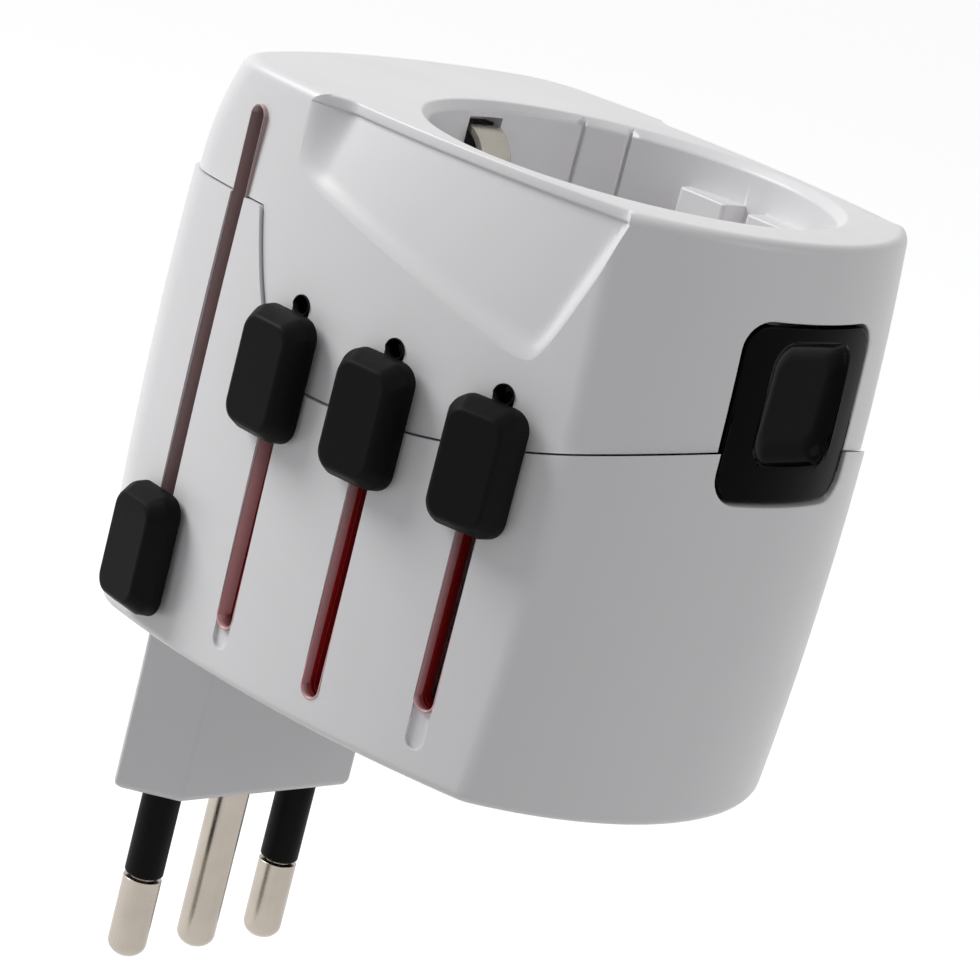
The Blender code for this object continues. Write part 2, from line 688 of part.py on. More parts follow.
def thick_pins():
    near, far = -THICK_PITCH / 2, THICK_PITCH / 2
    return (("live_pin", rectangle(THICK_X, near, THICK_PIN_SHEET, THICK_PIN_WIDTH), THICK_PIN_SHORTER),
            ("neutral_pin", rectangle(THICK_X, far, THICK_PIN_SHEET, THICK_PIN_WIDTH), THICK_PIN_SHORTER),
            ("earth_pin", rectangle(THICK_EARTH_X, 0.0, THICK_EARTH_WIDTH, THICK_PIN_SHEET), 0.0))


def angled_pins():
    width, sheet = ANGLED_BLADE_WIDTH, ANGLED_BLADE_SHEET
    near, far = -ANGLED_PITCH / 2, ANGLED_PITCH / 2
    return (("live_blade", rectangle(ANGLED_X, near, width, sheet, -ANGLED_TURN), ANGLED_SHORTER),
            ("neutral_blade", rectangle(ANGLED_X, far, width, sheet, ANGLED_TURN), ANGLED_SHORTER),
            ("earth_blade", rectangle(ANGLED_EARTH_X, 0.0, width, sheet), 0.0))


def pin_openings():
    """Cutters for the pins' holes in the plug face."""
    tools = []
    for plug, pins in (("flat", flat_pins()), ("thick", thick_pins()), ("angled", angled_pins())):
        for label, outline, _ in pins:
            hole = grow(outline, SLIDE_GAP)
            tools.append(upright(f"hole_{plug}_{label}", hole, -OVERSHOOT, FLOOR_WALL + OVERSHOOT))
    return tools


# Housing shells


def hexagon(half_length, half_width):
    """The in-line plug's plan: long flats with ends cut at 45 degrees to a point."""
    flat = half_length - half_width
    return [(INLINE_X + half_width, -flat), (INLINE_X + half_width, flat), (INLINE_X, half_length),
            (INLINE_X - half_width, flat), (INLINE_X - half_width, -flat), (INLINE_X, -half_length)]


def block_channel(name, low, high):
    outline = grow(hexagon(INLINE_BLOCK_LENGTH / 2, INLINE_BLOCK_WIDTH / 2), SLIDE_GAP)
    return upright(name, outline, low, high)


def post(label, i, low, high, radius):
    """An upright cylinder at one of the housing screws."""
    x, y = SCREW_PLACES[i]
    return cylinder(f"{label}_{i + 1}", radius, low, high, x, y, sides=POST_SIDES)


def button_tool(name, clearance, low_x, high_x):
    """The release button's outline, pushed along X."""
    width = BUTTON_WIDTH + 2 * clearance
    height = BUTTON_HIGH - BUTTON_LOW + 2 * clearance
    middle = (0.0, (BUTTON_LOW + BUTTON_HIGH) / 2)
    outline = round_rectangle(width, height, BUTTON_CORNER + clearance, middle)
    return prism(name, [(low_x, y, z) for y, z in outline], (high_x - low_x, 0, 0))


def lower_housing(material):
    """The lower shell: floor with the plugs' holes, walls with the slots, and posts for the screws."""
    shell = barrel("lower_housing", 0.0, PARTING_HIGH + OVERSHOOT, material)
    cavity = upright("lower_cavity", plan(SIDE_WALL, END_WALL), FLOOR_WALL, TOP)
    for i in range(len(SCREW_PLACES)):
        cut(cavity, post("lower_post", i, 0.0, POST_SPLIT, SCREW_POST / 2))
    cut(shell, cavity, block_channel("lower_channel", -OVERSHOOT, TOP))
    cut(shell, parting_tool("lower_parting", 0.0, TOP + OVERSHOOT))
    cut(shell, *slot_cutters("lower", range(4), SIDE_WALL + GAP), *recess_cutters())
    cut(shell, *pin_openings())
    cut(shell, button_tool("lower_button_hole", SLIDE_GAP, BUTTON_END_X - 2 * BUTTON_SHEET, BODY_LENGTH))
    for i in range(len(SCREW_PLACES)):
        cut(shell, post("lower_screw_hole", i, -OVERSHOOT, TOP, SCREW_SHANK / 2 + GAP))
        cut(shell, post("lower_head_hole", i, -OVERSHOOT, SCREW_HEAD_HEIGHT + GAP, SCREW_HEAD / 2 + GAP))
    return shell


def dish_line(x, wall):
    """Lower edge of the dish: a slow fall from the plug end, rounded into a steep rise."""
    fall = dish_fall(x) - wall
    rise = DISH_APEX_Z + dish_slope() * (x - wall - DISH_APEX_X)
    half = (fall - rise) / 2
    return (fall + rise) / 2 + math.hypot(half, DISH_CORNER)


def dish_slope():
    return (TOP - DISH_APEX_Z) / (DISH_RIGHT_X - DISH_APEX_X)


def dish_fall(x):
    """Height of the line that the dish runs out along, from the plug end to its lowest point."""
    share = (x - DISH_LEFT_X) / (DISH_APEX_X - DISH_LEFT_X)
    return DISH_LEFT_Z + (DISH_APEX_Z - DISH_LEFT_Z) * share


def dish_depth(x, z, edge):
    """How far the dish's floor lies behind the upper shell's side; it runs out along the lower edge."""
    low = dish_fall(x)
    share = min(1.0, max(0.0, (x - DISH_LEFT_X) / DISH_LEFT_WALL))
    along = (x - DISH_LEFT_X) / (DISH_RIGHT_X - DISH_LEFT_X)
    rim = DISH_DEPTH + (DISH_RIGHT_DEPTH - DISH_DEPTH) * along
    wall_rise = min(1.0, (z - edge) / (DISH_RIGHT_WALL * dish_slope()))
    return share * wall_rise * rim * (z - low) / (TOP - low) - DISH_RUN_OUT


def dish_tool(name, side, wall):
    """What the finger dish takes away on one long side, or with a wall, the room it takes up inside."""
    left = DISH_LEFT_X
    right = DISH_RIGHT_X + wall + OVERSHOOT / 2
    high = TOP + 2 * OVERSHOOT + dish_slope() * OVERSHOOT
    out = -BODY_DEPTH / 2 - OVERSHOOT
    start = left + DISH_LEFT_WALL
    stations = [left] + [start + (right - start) * i / DISH_STEPS for i in range(DISH_STEPS + 1)]
    rings = []
    for x in stations:
        edge = dish_line(x, wall)
        lip = max(TOP - DISH_LIP_HEIGHT, edge + GAP)
        knee = min(edge + DISH_RIGHT_WALL * dish_slope(), (edge + lip) / 2)
        floor = [(out, edge)]
        for z, proud in ((edge, 0.0), (knee, 0.0), (lip, 0.0), (lip, DISH_LIP), (high, DISH_LIP)):
            surface_y = side_y(x, PARTING_STEP + taper(z, SIDE_TAPER))
            floor.append((surface_y + wall + dish_depth(x, min(z, TOP), edge) - proud, z))
        rings.append([(x, side * -y, z) for y, z in floor + [(out, high)]])
    return loft(name, rings)


def well_tool():
    """The socket well with its chamfered lip, less the two guide ribs on its wall."""
    profile = [(0.0, WELL_FLOOR), (WELL_RADIUS, WELL_FLOOR), (WELL_RADIUS, TOP - SOCKET_LIP),
               (WELL_RADIUS + SOCKET_LIP + OVERSHOOT, TOP + OVERSHOOT), (0.0, TOP + OVERSHOOT)]
    well = turned("well", profile, (SOCKET_X, 0.0, 0.0), sides=WELL_SIDES)
    for side in (-1, 1):
        inner, outer = side * (WELL_RADIUS - GUIDE_RIB_REACH), side * (WELL_RADIUS + OVERSHOOT)
        for half in (-1, 1):
            near, far = half * GUIDE_NOTCH_WIDTH / 2, half * GUIDE_RIB_WIDTH / 2
            low = (SOCKET_X + min(near, far), min(inner, outer), WELL_FLOOR - OVERSHOOT)
            high = (SOCKET_X + max(near, far), max(inner, outer), TOP - GUIDE_RIB_DROP)
            cut(well, box("guide_rib", low, high))
    return well


def clip_reach():
    """Distance of an earth clip's strip from the well's axis."""
    return WELL_RADIUS - GAP - CLIP_SHEET / 2


def clip_slot(name, side):
    """The opening in the well's floor that an earth clip stands in."""
    near = SOCKET_X + side * (clip_reach() - CLIP_SHEET / 2 - GAP)
    far = SOCKET_X + side * (clip_reach() + CLIP_SHEET / 2 + GAP / 2)
    half = CLIP_WIDTH / 2 + GAP
    low = (min(near, far), -half, WELL_UNDER - OVERSHOOT)
    return box(name, low, (max(near, far), half, WELL_FLOOR + GAP))


def spring_seat(name, side):
    y = side * SPRING_Y
    low = (SEAT_X, y - SEAT_WIDTH / 2, SPRING_Z - SEAT_WIDTH / 2)
    return box(name, low, (SEAT_X + SEAT_SHEET, y + SEAT_WIDTH / 2, WELL_FLOOR))


def upper_housing(material):
    """The upper shell: roof with the socket well, and walls with the slots' tops and the dishes."""
    shell = barrel("upper_housing", PARTING_LOW - OVERSHOOT, TOP, material, PARTING_STEP)
    trim = plug_end_trim(TOP - ROOF_WALL)
    cavity = upright("upper_cavity", plan(SIDE_WALL, END_WALL, trim), 0.0, TOP - ROOF_WALL)
    cup_radius = WELL_RADIUS + SOCKET_WALL
    cut(cavity, cylinder("cup", cup_radius, WELL_UNDER, TOP, SOCKET_X, 0.0, sides=WELL_SIDES))
    cut(cavity, dish_tool("front_dish_wall", -1, DISH_WALL), dish_tool("back_dish_wall", 1, DISH_WALL))
    cut(cavity, spring_seat("seat_front", -1), spring_seat("seat_back", 1))
    for i in range(len(SCREW_PLACES)):
        cut(cavity, post("upper_post", i, POST_SPLIT + GAP, TOP, SCREW_POST / 2))
    cut(shell, cavity, block_channel("upper_channel", 0.0, INLINE_BLOCK_IN + INLINE_TRAVEL + GAP))
    cut(shell, parting_tool("upper_parting", PARTING_GAP, -OVERSHOOT))
    cut(shell, dish_tool("front_dish", -1, 0.0), dish_tool("back_dish", 1, 0.0), well_tool())
    cut(shell, *slot_cutters("upper", range(4), SIDE_WALL + GAP))
    for side in (-1, 1):
        hole_y = side * SOCKET_PITCH / 2
        hole_low = WELL_UNDER - OVERSHOOT
        cut(shell, cylinder(f"pin_hole_{side}", SOCKET_HOLE / 2, hole_low, TOP, SOCKET_X, hole_y))
        cut(shell, clip_slot(f"clip_slot_{side}", side))
    cut(shell, button_tool("upper_button_hole", SLIDE_GAP, BUTTON_END_X - 2 * BUTTON_SHEET, BODY_LENGTH))
    for i in range(len(SCREW_PLACES)):
        cut(shell, post("upper_screw_hole", i, 0.0, SCREW_TOP + GAP, SCREW_SHANK / 2 + GAP))
    return shell


def side_end(side_inset, end_inset):
    """Where the slider side's arc ends and the rounded corner at the button end begins."""
    start = turn_of((SIDE_CREST_X, SIDE_RADIUS - BODY_DEPTH / 2), button_corner(side_inset, end_inset))
    return SIDE_CREST_X + (SIDE_RADIUS - side_inset) * math.cos(start)


def guide_panel(material):
    """A panel behind the slider side whose slots keep the three short stems upright."""
    count = 12
    end = side_end(SIDE_WALL, END_WALL) - GAP
    xs = [PANEL_START_X + (end - PANEL_START_X) * i / count for i in range(count + 1)]
    near = [(x, side_y(x, SIDE_WALL + GAP)) for x in xs]
    far = [(x, side_y(x, SIDE_WALL + GAP + PANEL_SHEET)) for x in xs]
    panel = upright("guide_panel", near + far[::-1], FLOOR_WALL + GAP, WELL_UNDER - GAP, material)
    depth = SIDE_WALL + PANEL_SHEET + OVERSHOOT
    for i in (1, 2, 3):
        high = knob_z(i) + STEM_HEIGHT / 2 + SLOT_LIMIT
        cut(panel, side_slot(f"panel_slot_{i + 1}", i, slot_low(i), high, depth))
    return panel


def housing_screws(material):
    for i, (x, y) in enumerate(SCREW_PLACES):
        shank, head = SCREW_SHANK / 2, SCREW_HEAD / 2
        profile = [(0.0, 0.0), (head, 0.0), (head, SCREW_HEAD_HEIGHT), (shank, SCREW_HEAD_HEIGHT),
                   (shank, SCREW_TOP - shank), (shank / 2, SCREW_TOP), (0.0, SCREW_TOP)]
        turned(f"housing_screw_{i + 1}", profile, (x, y, 0.0), material, POST_SIDES)


# Socket metal


def earth_bracket(material):
    reach = clip_reach()
    strip_z = WELL_UNDER - GAP - CLIP_SHEET / 2
    bulge_z = TOP - CLIP_BULGE_DROP
    arm = [(reach, strip_z), (reach, WELL_FLOOR + CLIP_SHEET), (reach - CLIP_BULGE, bulge_z),
           (reach - CLIP_SHEET / 2, TOP - CLIP_TOP_DROP)]
    path = [(-x, z) for x, z in reversed(arm)] + arm
    outline = ribbon(path, CLIP_SHEET)
    flat = [(SOCKET_X + x, -CLIP_WIDTH / 2, z) for x, z in outline]
    return prism("earth_bracket", flat, (0, CLIP_WIDTH, 0), material)


def socket_contact(name, side, material):
    """A flanged tube under one of the socket's pin holes, slit so that it grips the pin."""
    high = WELL_UNDER - GAP
    low = high - CONTACT_LENGTH
    bore = CONTACT_BORE / 2
    outer = bore + CONTACT_WALL
    under = high - CONTACT_FLANGE_SHEET
    flange = CONTACT_FLANGE / 2
    profile = [(bore, low), (outer, low), (outer, under), (flange, under), (flange, high), (bore, high)]
    y = side * SOCKET_PITCH / 2
    tube = turned(name, profile, (SOCKET_X, y, 0.0), material)
    slit_low = (SOCKET_X - CONTACT_FLANGE, y - CONTACT_SLIT / 2, low - GAP)
    slit_high = (SOCKET_X + CONTACT_FLANGE, y + CONTACT_SLIT / 2, low + CONTACT_SLIT_HEIGHT)
    return cut(tube, box(f"{name}_slit", slit_low, slit_high))


def busbar(name, side, material):
    """A flat bar that leads from a contact towards the plug end, ringed round the contact."""
    high = WELL_UNDER - 2 * GAP - CONTACT_FLANGE_SHEET
    low = high - BUSBAR_SHEET
    y = side * SOCKET_PITCH / 2
    bar = cylinder(name, BUSBAR_RING / 2, low, high, SOCKET_X, y, material)
    half = BUSBAR_WIDTH / 2
    strip = box(f"{name}_strip", (BUSBAR_END_X, y - half, low), (SOCKET_X, y + half, high))
    bore = CONTACT_BORE / 2 + CONTACT_WALL + GAP
    return cut(join(bar, strip), cylinder(f"{name}_bore", bore, low - GAP, high + GAP, SOCKET_X, y))


# In-line plug


def inline_block(material):
    """The hexagonal plug block with its pin holes, and the lug that its slide button pushes on."""
    outline = hexagon(INLINE_BLOCK_LENGTH / 2, INLINE_BLOCK_WIDTH / 2)
    low = -INLINE_BLOCK_OUT
    edge = INLINE_BLOCK_EDGE
    sections = ((low, edge), (low + edge / 3, edge / 3), (low + edge, 0.0), (INLINE_BLOCK_IN, 0.0))
    block = loft("inline_block", rings_of(outline, sections), material)
    lug_front = stem_end(0)[1] + GAP
    lug_low = (LUG_RIGHT_X - LUG_WIDTH, lug_front, LUG_LOW)
    join(block, box("lug", lug_low, (LUG_RIGHT_X, -INLINE_PITCH, INLINE_BLOCK_IN - GAP)))
    for row in (-1, 0, 1):
        y = row * INLINE_PITCH
        core = (INLINE_PIN_CORE if row else INLINE_PIN) / 2 + GAP
        cut(block, cylinder(f"pin_seat_{row}", core, low - GAP, low + INLINE_PIN_ROOT + GAP, INLINE_X, y))
        if row:
            mouth = INLINE_PIN / 2 + GAP
            root = low + INLINE_SLEEVE_ROOT + GAP
            cut(block, cylinder(f"sleeve_seat_{row}", mouth, low - GAP, root, INLINE_X, y))
    return block


def inline_pin(name, row, sleeved, material):
    """A round pin with a domed tip, necked down where a sleeve covers it."""
    face = -INLINE_BLOCK_OUT
    tip = face - INLINE_PIN_LENGTH
    root = face + INLINE_PIN_ROOT
    r = INLINE_PIN / 2
    turns = [i * math.pi / 8 for i in range(5)]
    dome = [(r * math.sin(t), tip + INLINE_PIN_DOME * (1 - math.cos(t))) for t in turns]
    if sleeved:
        neck = face - INLINE_SLEEVE_LENGTH - GAP
        body = [(r, neck), (INLINE_PIN_CORE / 2, neck), (INLINE_PIN_CORE / 2, root), (0.0, root)]
    else:
        body = [(r, root), (0.0, root)]
    return turned(name, dome + body, (INLINE_X, row * INLINE_PITCH, 0.0), material)


def inline_sleeve(name, row, material):
    face = -INLINE_BLOCK_OUT
    low, high = face - INLINE_SLEEVE_LENGTH, face + INLINE_SLEEVE_ROOT
    inner, outer = INLINE_PIN_CORE / 2 + GAP, INLINE_PIN / 2
    profile = [(inner, low), (outer, low), (outer, high), (inner, high)]
    return turned(name, profile, (INLINE_X, row * INLINE_PITCH, 0.0), material)


# Plugs that slide inside the housing


def carriage(name, outline, travel, slot, material):
    """A flat plate that carries a plug's pins, with an upstand that its slide button pushes on."""
    low = CARRIAGE_LOW + travel
    plate = upright(name, outline, low, low + CARRIAGE_SHEET, material)
    end_x, end_y = stem_end(slot)
    riser_low = (end_x - ARM_WIDTH / 2, end_y + GAP, low)
    riser_high = (end_x + ARM_WIDTH / 2, end_y + GAP + ARM_WIDTH, KNOB_REST_Z + STEM_HEIGHT / 2)
    return join(plate, box(f"{name}_riser", riser_low, riser_high))


def pin_set(plug, plate, pins, travel, material):
    """The pins of a plug, each seated in a pocket of its carriage."""
    low = CARRIAGE_LOW + travel
    for label, outline, shorter in pins:
        tip = TIP_RECESS + shorter
        sections = ((tip, PIN_CHAMFER / 2), (tip + PIN_CHAMFER, 0.0), (low + PIN_ROOT, 0.0))
        loft(f"{plug}_{label}", rings_of(outline, sections), material)
        cut(plate, upright(f"{plug}_{label}_pocket", grow(outline, GAP), low - GAP, low + PIN_ROOT + GAP))


def sleeved_pins(plate, pins, material, sleeve_material):
    """The thick plug's live and neutral pins: necked down to take a sleeve, and so into the carriage."""
    low = CARRIAGE_LOW + THICK_TRAVEL
    neck = THICK_SLEEVE_WALL + GAP
    sleeve_low, sleeve_high = low - GAP - THICK_SLEEVE_LENGTH, low - GAP
    for label, outline, shorter in pins:
        tip = TIP_RECESS + shorter
        sections = ((tip, PIN_CHAMFER / 2), (tip + PIN_CHAMFER, 0.0), (sleeve_low - GAP, 0.0),
                    (sleeve_low - GAP, neck), (low + PIN_ROOT, neck))
        loft(f"thick_{label}", rings_of(outline, sections), material)
        seat = grow(outline, GAP - neck)
        cut(plate, upright(f"thick_{label}_pocket", seat, low - GAP, low + PIN_ROOT + GAP))
        sleeve_name = f"thick_{label.replace('pin', 'sleeve')}"
        sleeve = upright(sleeve_name, outline, sleeve_low, sleeve_high, sleeve_material)
        bore = grow(outline, -THICK_SLEEVE_WALL)
        cut(sleeve, upright(f"thick_{label}_bore", bore, sleeve_low - GAP, sleeve_high + GAP))


def flat_plug(carriage_material, pin_material):
    """Two upright blades across the barrel and a round earth pin behind them."""
    left = FLAT_X - FLAT_PITCH / 2 - FLAT_BLADE_SHEET / 2 - GAP - CARRIAGE_EDGE / 2
    right = FLAT_X + FLAT_PITCH / 2 + FLAT_BLADE_SHEET / 2 + GAP + CARRIAGE_EDGE / 2
    front = FLAT_Y - FLAT_BLADE_WIDTH / 2 - GAP - CARRIAGE_EDGE
    back = FLAT_Y + FLAT_BLADE_WIDTH / 2 + GAP + CARRIAGE_EDGE
    tongue = FLAT_EARTH_PIN / 2 + GAP + CARRIAGE_EDGE
    tip = FLAT_Y + FLAT_EARTH_OFFSET + tongue
    end_x, end_y = stem_end(1)
    arm = end_x - ARM_WIDTH / 2, end_x + ARM_WIDTH / 2
    arm_front = end_y + GAP
    outline = [(left, front), (arm[0], front), (arm[0], arm_front), (arm[1], arm_front), (arm[1], front),
               (right, front), (right, back), (FLAT_X + tongue, back), (FLAT_X + tongue, tip),
               (FLAT_X - tongue, tip), (FLAT_X - tongue, back), (left, back)]
    plate = carriage("flat_carriage", outline, FLAT_TRAVEL, 1, carriage_material)
    pin_set("flat", plate, flat_pins(), FLAT_TRAVEL, pin_material)


def thick_plug(carriage_material, pin_material, sleeve_material):
    """Two broad pins on a bar across the barrel, and an earth pin on a leg round the button end."""
    left, right = THICK_X - THICK_BAR_WIDTH / 2, THICK_X + THICK_BAR_WIDTH / 2
    end_x, end_y = stem_end(2)
    arm_front = end_y + GAP
    arm_back = arm_front + ARM_WIDTH
    arm_right = end_x + ARM_WIDTH / 2
    centre = (BUTTON_END_X - BUTTON_END_RADIUS, 0.0)
    outer = BUTTON_END_RADIUS - END_WALL - SLIDE_GAP
    inner = outer - THICK_LEG_SHEET
    bar_back = THICK_BACK_BAR_Y + THICK_BACK_BAR_WIDTH
    seat = THICK_PIN_SHEET / 2 + GAP + CARRIAGE_EDGE
    seat_left = THICK_EARTH_X - THICK_EARTH_WIDTH / 2 - GAP - CARRIAGE_EDGE
    leg_outer = arc(centre, outer, -math.asin(seat / outer), math.asin(bar_back / outer))
    leg_inner = arc(centre, inner, math.asin(THICK_BACK_BAR_Y / inner), math.asin(seat / inner))
    outline = [(left, arm_front), (arm_right, arm_front), (arm_right, arm_back), (right, arm_back),
               (right, THICK_BACK_BAR_Y)]
    outline += leg_inner + [(seat_left, seat), (seat_left, -seat)] + leg_outer + [(left, bar_back)]
    plate = carriage("thick_carriage", outline, THICK_TRAVEL, 2, carriage_material)
    live, neutral, earth = thick_pins()
    sleeved_pins(plate, (live, neutral), pin_material, sleeve_material)
    pin_set("thick", plate, (earth,), THICK_TRAVEL, pin_material)


def angled_plug(carriage_material, pin_material):
    """Two slanted blades either side of the thick earth pin, on a fork with the earth blade at its root."""
    spine = ANGLED_SPINE / 2
    reach_x = ANGLED_BLADE_WIDTH / 2 + GAP + CARRIAGE_EDGE / 2
    left = ANGLED_EARTH_X - reach_x
    right = ANGLED_X + reach_x
    inner = THICK_PIN_SHEET / 2 + 2 * GAP + 2 * CARRIAGE_EDGE
    outer = ANGLED_PITCH / 2 + ANGLED_BLADE_WIDTH / 2
    fork = THICK_EARTH_X - THICK_EARTH_WIDTH / 2 - CARRIAGE_EDGE - 2 * GAP - SLIDE_GAP
    root = fork - ARM_WIDTH - spine
    shoulder = fork - ARM_WIDTH / 2
    end_x, end_y = stem_end(3)
    arm_front = end_y + GAP
    arm = (end_x - ARM_WIDTH / 2, end_x + ARM_WIDTH / 2)
    front = [(left, -spine), (root, -spine), (shoulder, -outer), (arm[0], -outer), (arm[0], arm_front),
             (arm[1], arm_front), (arm[1], -outer), (right, -outer), (right, -inner), (fork, -inner)]
    back = [(fork, inner), (right, inner), (right, outer), (shoulder, outer), (root, spine), (left, spine)]
    outline = front + back
    plate = carriage("angled_carriage", outline, ANGLED_TRAVEL, 3, carriage_material)
    pin_set("angled", plate, angled_pins(), ANGLED_TRAVEL, pin_material)


# Release button


def release_button(material):
    """A button that follows the rounded end, with a thumb scoop open towards its top."""
    low, high = BUTTON_LOW - OVERSHOOT, BUTTON_HIGH + OVERSHOOT
    button = barrel("release_button", low, high, material, PARTING_STEP)
    boolean(button, button_tool("button_outline", 0.0, BUTTON_BACK_X, BODY_LENGTH), "INTERSECT")
    scoop_low = BUTTON_LOW + SCOOP_RISE
    height = high - scoop_low
    middle = scoop_low + height / 2
    face_x = BUTTON_END_X
    rings = []
    for depth, shrink in ((-OVERSHOOT, 0.0), (SCOOP_DEPTH * 0.4, 0.0), (SCOOP_DEPTH, SCOOP_CORNER)):
        width = SCOOP_WIDTH - 2 * shrink
        outline = round_rectangle(width, height - 2 * shrink, SCOOP_CORNER, (0.0, middle))
        rings.append([(face_x - depth, y, z) for y, z in outline])
    return cut(button, loft("scoop", rings))


def lock_bar(material):
    half = LOCK_WIDTH / 2
    high = (BUTTON_BACK_X - GAP, half, LOCK_LOW + LOCK_SHEET)
    return box("lock_bar", (LOCK_END_X, -half, LOCK_LOW), high, material)


def release_spring(name, side, material):
    """A coil between a seat under the socket well and the back of the release button."""
    start = SEAT_X + SEAT_SHEET + GAP + SPRING_WIRE
    length = BUTTON_BACK_X - GAP - SPRING_WIRE - start
    steps = SPRING_TURNS * SPRING_POINTS
    curve = bpy.data.curves.new(name, "CURVE")
    curve.dimensions = "3D"
    curve.bevel_depth = SPRING_WIRE
    curve.bevel_resolution = 1
    curve.use_fill_caps = True
    spline = curve.splines.new("POLY")
    spline.points.add(steps)
    for i, point in enumerate(spline.points):
        turn = math.tau * i / SPRING_POINTS
        y = side * SPRING_Y + SPRING_RADIUS * math.cos(turn)
        z = SPRING_Z + SPRING_RADIUS * math.sin(turn)
        point.co = (start + length * i / steps, y, z, 1.0)
    curve.materials.append(material)
    spring = bpy.data.objects.new(name, curve)
    bpy.context.scene.collection.objects.link(spring)


def main():
    clear_scene()
    white = surface("white shell", (0.80, 0.79, 0.79), 0.35)
    black = surface("black grip", (0.012, 0.012, 0.013), 0.55)
    gloss = surface("black gloss", (0.008, 0.008, 0.008), 0.15)
    red = surface("dark red slide", (0.30, 0.012, 0.016), 0.45)
    nickel = surface("nickel", (0.66, 0.62, 0.57), 0.22, 1.0)
    brass = surface("brass", (0.72, 0.52, 0.22), 0.3, 1.0)
    steel = surface("spring steel", (0.60, 0.60, 0.60), 0.28, 1.0)
    lower_housing(white)
    upper_housing(white)
    guide_panel(red)
    housing_screws(steel)
    earth_bracket(steel)
    for label, side in (("live", -1), ("neutral", 1)):
        socket_contact(f"{label}_contact", side, brass)
        busbar(f"{label}_busbar", side, brass)
        inline_pin(f"inline_{label}_pin", side, True, nickel)
        inline_sleeve(f"inline_{label}_sleeve", side, black)
    inline_pin("inline_earth_pin", 0, False, nickel)
    inline_block(white)
    for i in range(4):
        slider_knob(i, black)
    flat_plug(red, brass)
    thick_plug(red, brass, black)
    angled_plug(red, brass)
    release_button(gloss)
    lock_bar(red)
    release_spring("release_spring_front", -1, steel)
    release_spring("release_spring_back", 1, steel)


main()
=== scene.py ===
import math

import bmesh
import bpy
from bpy.props import FloatProperty, FloatVectorProperty, PointerProperty
from mathutils import Matrix, Vector


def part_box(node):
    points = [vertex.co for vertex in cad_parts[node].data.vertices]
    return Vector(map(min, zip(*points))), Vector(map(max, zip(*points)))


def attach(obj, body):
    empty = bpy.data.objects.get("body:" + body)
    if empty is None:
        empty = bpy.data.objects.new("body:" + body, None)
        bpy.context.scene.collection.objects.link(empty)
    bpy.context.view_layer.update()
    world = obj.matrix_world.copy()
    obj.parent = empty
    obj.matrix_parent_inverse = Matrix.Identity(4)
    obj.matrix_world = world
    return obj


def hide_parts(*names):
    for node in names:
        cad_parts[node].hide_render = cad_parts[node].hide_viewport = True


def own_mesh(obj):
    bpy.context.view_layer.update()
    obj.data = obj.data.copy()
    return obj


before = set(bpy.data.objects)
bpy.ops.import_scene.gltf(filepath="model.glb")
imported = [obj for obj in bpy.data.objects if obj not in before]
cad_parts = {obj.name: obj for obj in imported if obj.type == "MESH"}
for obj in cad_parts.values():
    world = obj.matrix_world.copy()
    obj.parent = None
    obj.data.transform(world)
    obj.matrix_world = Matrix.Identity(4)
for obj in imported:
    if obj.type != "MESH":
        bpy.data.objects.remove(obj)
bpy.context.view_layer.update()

bl_info = {
    "name": "Travel adapter dresser",
    "version": (1, 0, 0),
    "blender": (4, 5, 0),
    "location": "3D View > Sidebar > Adapter",
    "description": "Builds the finished shells, slide buttons, plugs and finishes of a travel adapter",
    "category": "Object",
}

MM = 0.001

# Fits, as in the solids
GAP = 0.3 * MM
SLIDE_GAP = 0.35 * MM
OVER = 3.0 * MM

# Barrel
LENGTH, DEPTH, TOP = 67.4 * MM, 50.2 * MM, 55.7 * MM
WIDEST = 30.0 * MM
END_TAPER, SIDE_TAPER = 1.2 * MM, 0.45 * MM
SIDE_RADIUS, SIDE_CREST = 105.0 * MM, -4.0 * MM
BUTTON_END_RADIUS, PLUG_END_RADIUS = 30.0 * MM, 62.0 * MM
BUTTON_CORNER_ROUND, PLUG_CORNER_ROUND = 4.0 * MM, 8.0 * MM
RIM_ROUND = 1.0 * MM
TRIM, TRIM_DROP = 2.4 * MM, 10.7 * MM
SIDE_WALL, END_WALL, FLAT_WALL = 2.0 * MM, 3.0 * MM, 2.2 * MM
ROW = 1.1 * MM

# Parting line
STEP_IN = 0.4 * MM
PARTING_LOW, PARTING_HIGH = 29.2 * MM, 43.6 * MM
PARTING_LOW_X, PARTING_STEP_X = -3.0 * MM, -15.5 * MM
PARTING_RISE, PARTING_POWER = 7.8 * MM, 2.5
PARTING_LINE = 0.18 * MM

# Finger dish
DISH_DEPTH, DISH_RIGHT_DEPTH, DISH_RUN_OUT = 3.0 * MM, 2.2 * MM, 0.04 * MM
DISH_LIP, DISH_LIP_HEIGHT = 0.4 * MM, 1.1 * MM
DISH_LEFT, DISH_LEFT_Z, DISH_LEFT_WALL = -12.8 * MM, 47.6 * MM, 4.4 * MM
DISH_APEX, DISH_APEX_Z = 20.0 * MM, 39.0 * MM
DISH_RIGHT = 25.7 * MM
DISH_CORNER, DISH_WALL = 2.0 * MM, 1.6 * MM
DISH_SINK, DISH_BAND = 5.0 * MM, 2.3 * MM
DISH_SLOPE = (TOP - DISH_APEX_Z) / (DISH_RIGHT - DISH_APEX)

